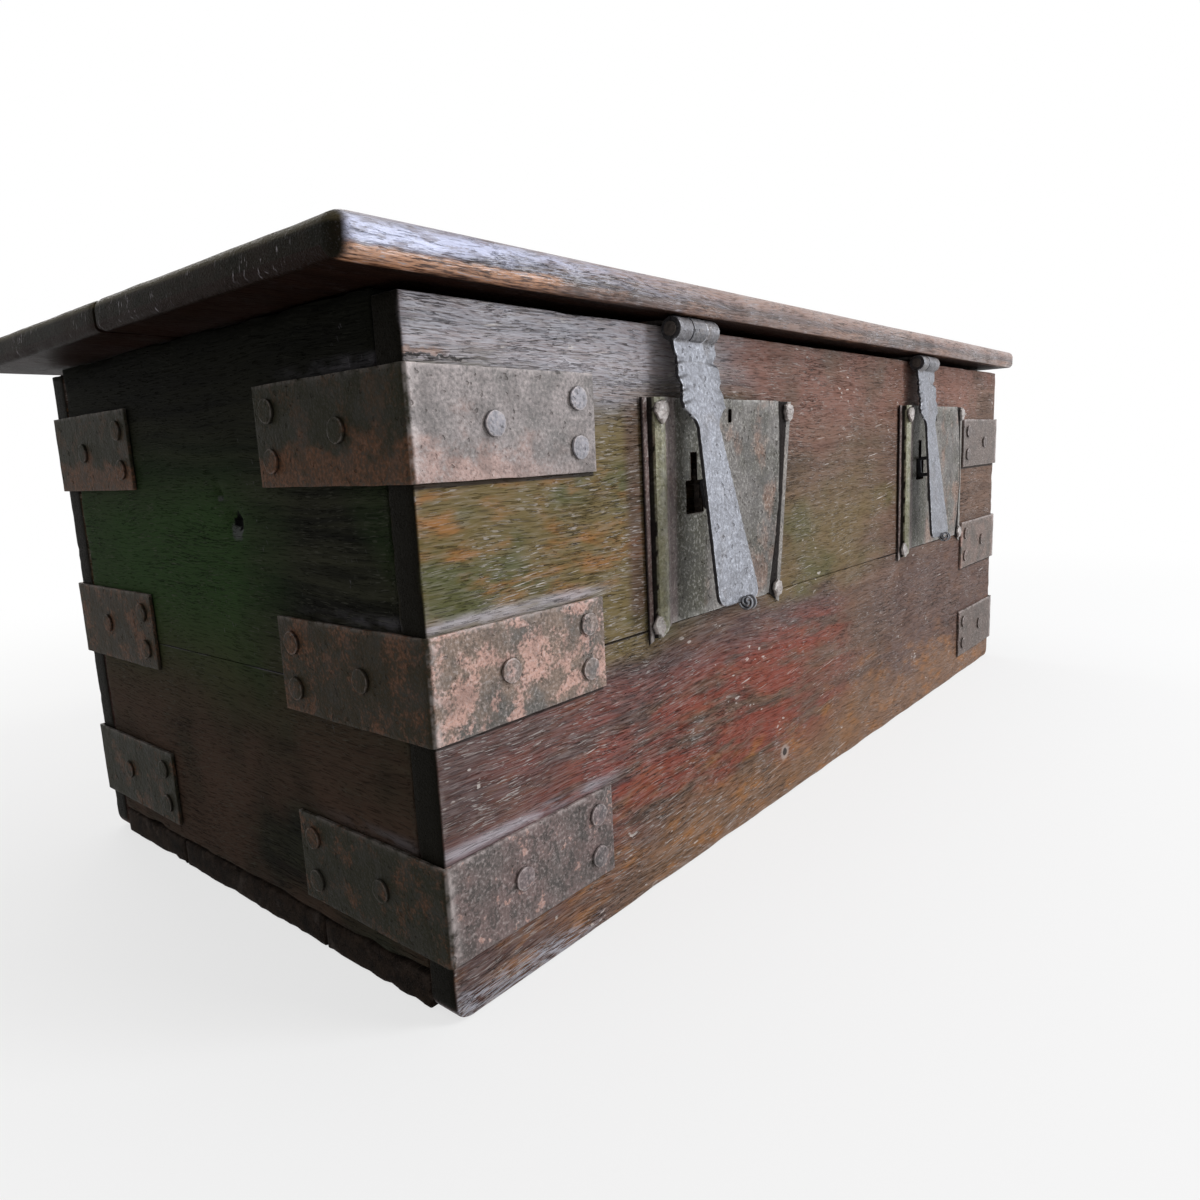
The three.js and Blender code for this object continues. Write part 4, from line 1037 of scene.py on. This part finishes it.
# Lock works: behind each plate a keeper tray, a leaf spring and a sliding bolt, filed from
# forged iron and left dark and dry. They show only through the plate's slots.
WORKS_TONES = {
    "dark": (0.018, 0.016, 0.015),
    "body": (0.085, 0.072, 0.064),
    "bright": (0.230, 0.190, 0.165),
}
WORKS_RUST = (0.150, 0.062, 0.030)
STEEL = (0.210, 0.210, 0.225)


def works_zones(here, sand, colour):
    """Rust in patches; the knuckles that stand before the chest are rubbed as the hasps are."""
    rust = (here.cloud(0.020, 3.0, shift=7.0) + (sand - 0.5) * 0.3).rise(0.52, 0.66)
    before = 1 - here.part(1).rise(foot.y - 0.004, foot.y - 0.001)
    return coated(colour, (rust * 0.6, WORKS_RUST), (before * 0.9, STEEL)), 0.3 + before * 0.7, 0.0


def give_finish(node, finish):
    """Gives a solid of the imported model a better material."""
    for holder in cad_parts[node].material_slots:
        holder.material = finish


works_finish = forged_iron("lock_works_iron", WORKS_TONES, works_zones, 1.0, 0.5, 0.55)
for side in ("left", "right"):
    for part in ("keeper", "spring", "bolt"):
        give_finish(f"lock_{part}_{side}", works_finish)

# Lid boards: two thick boards side by side with their outer edges worn round, more above
# than below. They are dark and glossy with old wax, redder where the wax is rubbed away.
LID_TONES = {
    "deep": (0.010, 0.006, 0.005),
    "body": (0.085, 0.042, 0.029),
    "pale": (0.430, 0.400, 0.430),
    "silver": (0.560, 0.590, 0.760),
}
LID_RAW = (0.560, 0.290, 0.170)
LID_RAW_DARK = (0.075, 0.032, 0.020)
LID_GLARE = (0.640, 0.670, 0.880)
LID_FADED_AND_SHEEN = (0.330, 0.205, 0.160)
LID_RED = (0.100, 0.030, 0.019)
LID_BLACK = (0.007, 0.007, 0.004)
LID_UNDER = (0.013, 0.006, 0.004)
LID_RIM = (0.110, 0.090, 0.050)
LID_CORNER = 0.011
LID_TOP_ROUND = 0.009
LID_LOW_ROUND = 0.005
LID_SPACING = 0.0065
lid_low, lid_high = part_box("lid_board_front")
LID_LENGTH = lid_high.x - lid_low.x


def lid_place(here):
    """How far along and up the lid a place is, whether in front, whether at an end, and a stray."""
    x = here.part(0) - lid_low.x
    front = 1 - here.part(1).rise(lid_low.y + 0.008, lid_low.y + 0.012)
    stray = here.cloud(0.02, 3.0, (2.5, 1, 1), 4.0) - 0.5
    wander = x + stray * 0.004
    end = 1 - wander.rise(0.004, 0.010) + wander.rise(LID_LENGTH - 0.010, LID_LENGTH - 0.004)
    return x, here.part(2) - lid_low.z, front, end, stray


def lid_zones(here, grain, colour):
    """Red-brown, glossy in front with a painted silver reflection, a band of painted sheen along
    the top of the front edge and a darker band below it; nearly black at the ends and below.
    """
    x, up, front, end, _ = lid_place(here)
    red = grain.cloud(0.03, 3.0, (4, 1, 1), 2.0).rise(0.44, 0.62)
    faded = front * x.rise(0.10, 0.40)
    blots = here.cloud(0.05, 2.0, (3, 1, 1), 8.1).rise(0.25, 0.55)
    lifted = up + (grain.cloud(0.03, 3.0, (4, 1, 1), 5.2) - 0.5) * 0.006
    # A band of painted sheen along the top of the front edge, and a darker band below it
    sheen_band = front * lifted.rise(0.0120, 0.0170) * x.rise(0.06, 0.22)
    hollow = front * lifted.within(0.0050, 0.0115, 0.0030) * x.rise(0.06, 0.22)
    inside = here.part(1).within(lid_low.y + 0.012, -lid_low.y - 0.012, 0.002)
    below = 1 - (up - inside * 0.006).rise(0.0004, 0.0012)
    colour = coated(
        colour,
        (red * 0.75, LID_RED),
        (faded * blots * 0.8, LID_FADED_AND_SHEEN),
        (sheen_band * 0.60, LID_FADED_AND_SHEEN),
        (hollow * 0.60, LID_TONES["deep"]),
        (end * 0.93, LID_BLACK),
        (below * 0.90, LID_UNDER),
    )
    shine = (1 - end) * (1 - below) * (0.3 + front * 0.7)
    # Silver streaks of painted reflection on the front edge, fainter to the right
    silver = shine * front * (0.42 - faded * 0.36) * up.rise(0.006, 0.009)
    return colour, shine, silver, (end + below).rise(0.0, 1.0)


def lid_marks(here, colour):
    """Glare by the near corner over splintered bare wood; nicks and a pale rim on the end."""
    x, up, front, end, stray = lid_place(here)
    edge = front * (1 - end)
    lifted = up + stray * 0.008
    ripples = here.cloud(0.0040, 3.0, (2.4, 1, 0.8), 3.7).rise(0.38, 0.56)
    glare = lifted.within(0.0075 + x * 0.040, 0.0195, 0.003) * edge * (1 - x.rise(0.03, 0.30))
    bare = 1 - x.rise(0.09, 0.20) + here.cloud(0.05, 1.0, shift=6.0).rise(0.48, 0.60) * 0.3
    bare = lifted.within(0.0000, 0.0075, 0.0012) * edge * bare.rise(0.0, 1.0)
    strands = here.cloud(1.0, 3.0, (0.013, 0.0025, 0.0013), 5.0)
    nicks = here.cloud(1.0, 3.0, (1, 0.0016, 0.007), 3.1, (math.radians(-12), 0, 0)).rise(0.62, 0.68)
    nicks = nicks * end * here.cloud(0.05, 1.0, shift=7.7).rise(0.50, 0.60) * up.rise(0.001, 0.002)
    return coated(
        colour,
        (glare * (0.35 + ripples * 0.60), LID_GLARE),
        (bare, strands.rise(0.36, 0.56).tint(LID_RAW_DARK, LID_RAW)),
        (bare * strands.rise(0.58, 0.66) * 0.8, LID_TONES["pale"]),
        (nicks * 0.7, LID_TONES["pale"]),
        (end * up.within(0.0165, 0.0215, 0.0015) * 0.5, LID_RIM),
    )


lid_finish = old_wood("lid_board_wood", 0, LID_TONES, lid_zones, 0.46, lid_marks)
for seed, face in enumerate(("front", "back")):
    node = f"lid_board_{face}"
    low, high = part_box(node)
    outer_y, joint_y = (low.y, high.y) if face == "front" else (high.y, low.y)
    board = sawn_block(f"{node}_worn", low, high)

    def at_corner(edge, middle, run):
        return abs(run.z) > 0.9 and abs(middle.y - outer_y) < 1e-4

    def on_rim(middle, run, z):
        return abs(run.z) < 0.5 and abs(middle.z - z) < 1e-4 and abs(middle.y - joint_y) >= 1e-4

    bevel_where(board, at_corner, LID_CORNER, 7)
    bevel_where(board, lambda edge, middle, run: on_rim(middle, run, high.z), LID_TOP_ROUND, 6)
    bevel_where(board, lambda edge, middle, run: on_rim(middle, run, low.z), LID_LOW_ROUND, 4)
    for axis in (0, 1):
        cut_evenly(board, axis, LID_SPACING)
    wear_board(board, 0, 0.0009, 0.0016, 61.0 + seed)
    stand_for(board, "lid", node, lid_finish)

# Under the lid: two long straps that hold its boards together and end in a knuckle at the
# back and at the front, the fixed leaves on the back boards, and the hinges' pins.
for side in ("left", "right"):
    for part in ("lid_strap", "back_hinge_leaf", "back_hinge_pin"):
        give_finish(f"{part}_{side}", works_finish)

# Hasps: each is forged in one piece with a filed head, a narrow waist, a flared foot and
# a tongue rolled into a tight curl, with a staple riveted through its back. Handling has
# kept it bright, blue-grey and finely pitted.
HASP_TONES = {
    "dark": (0.075, 0.073, 0.078),
    "body": (0.205, 0.208, 0.230),
    "bright": (0.680, 0.700, 0.760),
}
HASP_BROWN = (0.130, 0.110, 0.098)
HASP_LENGTH = 0.203
HASP_THICKNESS = 0.0035
HASP_FACE = HASP_THICKNESS / 2
HASP_ROWS = 150
HASP_COLUMNS = 30
HASP_LEAN = {"left": math.radians(10.5), "right": math.radians(6)}
HASP_HEAD = 0.0275
HASP_HEAD_LENGTH = 0.058
HASP_WAIST = 0.014
HASP_WAIST_DROP = 0.072
HASP_FOOT = 0.028
HASP_FOOT_ROUND = 0.009
HASP_NOTCHES = [0.022, 0.0418]
HASP_NOTCH_DEPTH = 0.003
HASP_NOTCH_WIDTH = 0.0035
HASP_CREASES = [0.0225, 0.0330, 0.0425, 0.0515, 0.0620]
HASP_CREASE_WIDTH = 0.0016
HALF_BARREL = 0.026
KNUCKLE_RADIUS = 0.009
KNUCKLE_BORE = 0.0033
KNUCKLE_LENGTH = 0.0171
CURL_RADIUS = 0.007
CURL_CORE = 0.0026
CURL_TURN = math.radians(560)
CURL_SHEET = 0.0019
CURL_STEPS = 72
TONGUE = 0.0032
TONGUE_OFFSET = 0.0034
STAPLE_OFFSET = 0.010
STAPLE_DROP = 0.118
STAPLE_HEIGHT = 0.024
STAPLE_REACH = 0.0205
STAPLE_BAR = 0.0045
WELD_SIZE = 0.0008
HASP_AXIS_Y = foot.y - 0.01175
HASP_AXIS_Z = 0.421
CURL_CENTRE = Vector((TONGUE_OFFSET, HASP_FACE - CURL_RADIUS, -HASP_LENGTH))


def hasp_half_width(drop):
    """Half of the hasp's width at a depth below its hinge: lobes, a waist and a flared foot."""
    if drop <= HASP_HEAD_LENGTH:
        notches = sum(hump(drop - notch, HASP_NOTCH_WIDTH) for notch in HASP_NOTCHES)
        return HASP_HEAD - HASP_NOTCH_DEPTH * notches
    if drop <= HASP_WAIST_DROP:
        share = (drop - HASP_HEAD_LENGTH) / (HASP_WAIST_DROP - HASP_HEAD_LENGTH)
        return HASP_WAIST + (HASP_HEAD - 0.0015 - HASP_WAIST) * (1 - share) ** 2
    share = (drop - HASP_WAIST_DROP) / (HASP_LENGTH - HASP_FOOT_ROUND - HASP_WAIST_DROP)
    if share <= 1:
        return HASP_WAIST + (HASP_FOOT - HASP_WAIST) * share
    into = (drop - (HASP_LENGTH - HASP_FOOT_ROUND)) / HASP_FOOT_ROUND
    return HASP_FOOT - HASP_FOOT_ROUND * (1 - math.sqrt(max(0.0, 1 - into * into)))


def filed_leaf(column, row):
    """A point on the front of the hasp's flat, which hangs from the origin along -Z."""
    start = KNUCKLE_RADIUS - HASP_FACE
    across = column / HASP_COLUMNS * 2 - 1
    drop = start + (HASP_LENGTH - start) * row / HASP_ROWS
    creases = sum(hump(drop - crease, HASP_CREASE_WIDTH) for crease in HASP_CREASES)
    filed = max(0.0, abs(across + 0.1) - 0.45) * (1.0 if drop < HASP_CREASES[-1] else 0.0)
    filed *= 1.0 if across < 0 or drop < HASP_CREASES[0] + 0.004 else 0.3
    groove = 0.0026 * filed * (0.3 + creases) + 0.0005 * hump(drop - HASP_CREASES[0], 0.0014)
    return across * hasp_half_width(drop), groove - HASP_FACE, -drop


def rolled_tongue(column, row):
    """A point on the tongue's end, rolled outward and up into a tight spiral."""
    angle = CURL_TURN * row / CURL_STEPS
    radius = CURL_RADIUS - CURL_SHEET / 2 + (CURL_CORE - CURL_RADIUS) * row / CURL_STEPS
    across = (column / 3 * 2 - 1) * TONGUE
    return CURL_CENTRE + Vector((across, math.cos(angle) * radius, -math.sin(angle) * radius))


def hasp_knuckle(start):
    place = (start + KNUCKLE_LENGTH / 2, 0, 0)
    knuckle = round_bar(KNUCKLE_RADIUS, KNUCKLE_LENGTH, place, 40, (0, QUARTER_TURN, 0), "NOTHING")
    thicken(knuckle, KNUCKLE_RADIUS - KNUCKLE_BORE, -1.0)
    return knuckle


def hasp_staple():
    """A square bar bent to an eye behind the leaf."""
    low = Vector((STAPLE_OFFSET - STAPLE_BAR / 2, 0.0, -(STAPLE_DROP + STAPLE_HEIGHT / 2)))
    high = Vector((STAPLE_OFFSET + STAPLE_BAR / 2, HASP_FACE + STAPLE_REACH, low.z + STAPLE_HEIGHT))
    staple = sawn_block("staple", low, high)

    def at_nose(edge, middle, run):
        return abs(run.x) > 0.9 and middle.y > high.y - 1e-5

    bevel_where(staple, at_nose, STAPLE_BAR * 0.8, 5)
    eye_low = Vector((low.x - STAPLE_BAR, HASP_FACE, low.z + STAPLE_BAR))
    eye_high = high - Vector((-STAPLE_BAR, STAPLE_BAR, STAPLE_BAR))
    cut_through(staple, sawn_block("eye", eye_low, eye_high))
    return staple


def hasp_shade(place, normal):
    """Painted shade: dark ends and bore of the barrel, back and sides of the leaf, and filed creases."""
    off_axis = math.hypot(place.y, place.z)
    at_end = off_axis < KNUCKLE_RADIUS * 0.96 and abs(place.x) > HALF_BARREL - 0.0012
    at_back = place.y > 0.6 * HASP_THICKNESS and off_axis > KNUCKLE_RADIUS
    dark = 0.8 if at_end or off_axis < KNUCKLE_BORE + 0.001 or at_back else 0.0
    leaf = place.z < -KNUCKLE_RADIUS
    if leaf and abs(normal.x) > 0.75:
        dark = 0.9
    if leaf and normal.y < -0.4:
        filed = abs(place.x + 0.1 * HASP_HEAD) / HASP_HEAD
        lines = sum(hump(-place.z - crease - 0.006 * (filed - 0.5), 0.0012) for crease in HASP_CREASES)
        side = 1.0 if place.x < 0 or -place.z < HASP_CREASES[0] + 0.004 else 0.25
        dark = max(dark, min(0.9, 1.5 * side * lines * max(0.0, filed - 0.35)))
    return dark


def curl_shade(place, normal):
    """Painted shade: the curl is dark inside its turns, lighter on its outer turn and at its two ends."""
    off_middle = (place - CURL_CENTRE).yz.length
    if abs(normal.x) > 0.4:
        return 0.15
    return 0.30 if off_middle > CURL_RADIUS * 0.88 else 0.9


def hasp_edge_highlights(point, normal):
    """The front arrises of the leaf are painted bright as highlights."""
    return 1.3 if normal.y < -0.2 and abs(normal.x) > 0.25 else 0.0


def hasp_zones(here, sand, colour):
    """Blue-grey where hands touch it, browner at the barrel."""
    brown = (here.cloud(0.022, 3.0, shift=7.0) + (sand - 0.5) * 0.2).rise(0.54, 0.68)
    barrel = here.part(2).rise(HASP_AXIS_Z - 0.011, HASP_AXIS_Z - 0.008)
    return (brown * 0.35 + barrel * 0.40).tint(colour, HASP_BROWN), 0.7 + 0.3 * sand, 0.0


def pin_zones(here, sand, colour):
    """The pins are dull and dark all over."""
    return colour, 0.3, 0.6


leaf = shaped_grid("leaf", HASP_COLUMNS, HASP_ROWS, filed_leaf)
thicken(leaf, HASP_THICKNESS)
knuckles = [hasp_knuckle(-HALF_BARREL), hasp_knuckle(HALF_BARREL - KNUCKLE_LENGTH)]
hasp_pattern = join_pieces([leaf, *knuckles, hasp_staple()])
modify(hasp_pattern, "REMESH", mode="VOXEL", voxel_size=WELD_SIZE)
# Painted shade on the barrel's ends and bore, the leaf's back and sides, and its creases
paint_points(hasp_pattern, "painted_shade", hasp_shade)
curl = shaped_grid("curl", 3, CURL_STEPS, rolled_tongue)
thicken(curl, CURL_SHEET, 0.0)
face_outward()
# Painted shade inside the curl's turns
paint_points(curl, "painted_shade", curl_shade)
join_pieces([hasp_pattern, curl])

hasp_finish = forged_iron("hasp_iron", HASP_TONES, hasp_zones, 0.7, 0.55, 0.44)
pin_finish = forged_iron("hasp_pin_iron", WORKS_TONES, pin_zones, 1.0, 0.5, 0.6)
for side, middle in HASP_MIDDLES.items():
    hasp = add_object(f"hasp_{side}_forged", hasp_pattern.data.copy())
    place = Matrix.Translation((middle, HASP_AXIS_Y, HASP_AXIS_Z))
    hasp.data.transform(place @ Matrix.Rotation(-HASP_LEAN[side], 4, "X"))
    hasp.data.update()
    # Painted highlights along the leaf's front arrises
    wear_iron(hasp, 0.0005, 0.010, hasp_edge_highlights)
    for face in hasp.data.polygons:
        face.use_smooth = True
    stand_for(hasp, f"hasp_{side}", f"hasp_{side}", hasp_finish)
    give_finish(f"hasp_pin_{side}", pin_finish)
bpy.data.objects.remove(hasp_pattern)

# The studio: a pale floor, soft lamps, and a camera where the photographer stood, low
# and close to the chest's near corner.
FLOOR_COLOUR = (0.80, 0.80, 0.80)
FLOOR_SINK = 0.0005
WHITE = (1.0, 1.0, 1.0)
WORLD_LIGHT = 0.40
FLOOR_LIFT = 0.70
FLOOR_FADE = (0.55, 2.0)
LENS = 25.41
SENSOR = 36.0
EYE = Vector((-0.28709, -0.37059, 0.33637))
EYE_TURN = (80.1299453, 2.63023162, -50.24551653)
AIM = Vector((0.0, 0.0, 0.22))
# Each lamp's place, size, power and colour
LAMPS = {
    "key_lamp": ((1.30, -2.30, 1.0), (0.8, 1.3), 36.0, (0.88, 0.93, 1.0)),
    "high_lamp": ((0.5, -1.7, 2.3), (0.8, 0.5), 20.0, (1.0, 0.98, 0.95)),
    "top_lamp": ((0.2, 0.4, 2.6), (2.2, 2.2), 16.0, (1.0, 1.0, 1.0)),
    "back_lamp": ((0.6, 2.6, 1.5), (1.6, 1.2), 24.0, (1.0, 0.98, 0.96)),
}


def ray_kinds(here, *kinds):
    """Whether the ray that arrives is of one of some kinds."""
    return sum(here.node("ShaderNodeLightPath", {}, {}, f"Is {kind} Ray") for kind in kinds)


bpy.ops.object.select_all(action="DESELECT")
bpy.ops.mesh.primitive_plane_add(size=60, location=(0, 0, -FLOOR_SINK))
floor = bpy.context.object
floor.name = "studio_floor"
floor_finish, here = new_finish("studio_floor_paint")
paint = here.node("ShaderNodeBsdfDiffuse", {}, {"Color": FLOOR_COLOUR})
glow = here.node("ShaderNodeEmission", {}, {"Color": WHITE, "Strength": 1.0})
far = here.vector("LENGTH", output=1).rise(*FLOOR_FADE)
lift = ray_kinds(here, "Camera", "Glossy") * (FLOOR_LIFT + far * (1 - FLOOR_LIFT))
mixed = here.node("ShaderNodeMixShader", {}, {0: lift, 1: paint, 2: glow})
here.node("ShaderNodeOutputMaterial", {}, {"Surface": mixed})
floor.data.materials.append(floor_finish)

world = bpy.data.worlds.new("studio")
bpy.context.scene.world = world
world.use_nodes = True
world.node_tree.nodes.clear()
sky = Shade(world.node_tree)
shown = ray_kinds(sky, "Camera", "Glossy", "Transmission").rise(0.0, 1.0)
strength = WORLD_LIGHT + shown * (1 - WORLD_LIGHT)
background = sky.node("ShaderNodeBackground", {}, {"Color": WHITE, "Strength": strength})
sky.node("ShaderNodeOutputWorld", {}, {"Surface": background})

for name, (place, size, power, colour) in LAMPS.items():
    light = bpy.data.lights.new(name, "AREA")
    light.shape = "RECTANGLE"
    light.size = size[0]
    light.size_y = size[1]
    light.energy = power
    light.color = colour
    lamp = add_object(name, light)
    lamp.location = place
    lamp.rotation_euler = (AIM - lamp.location).to_track_quat("-Z", "Y").to_euler()

lens = bpy.data.cameras.new("camera")
lens.lens = LENS
lens.sensor_width = SENSOR
camera = add_object("camera", lens)
camera.location = foot + EYE
camera.rotation_euler = [math.radians(angle) for angle in EYE_TURN]
bpy.context.scene.camera = camera
bpy.context.scene.view_settings.view_transform = "Standard"
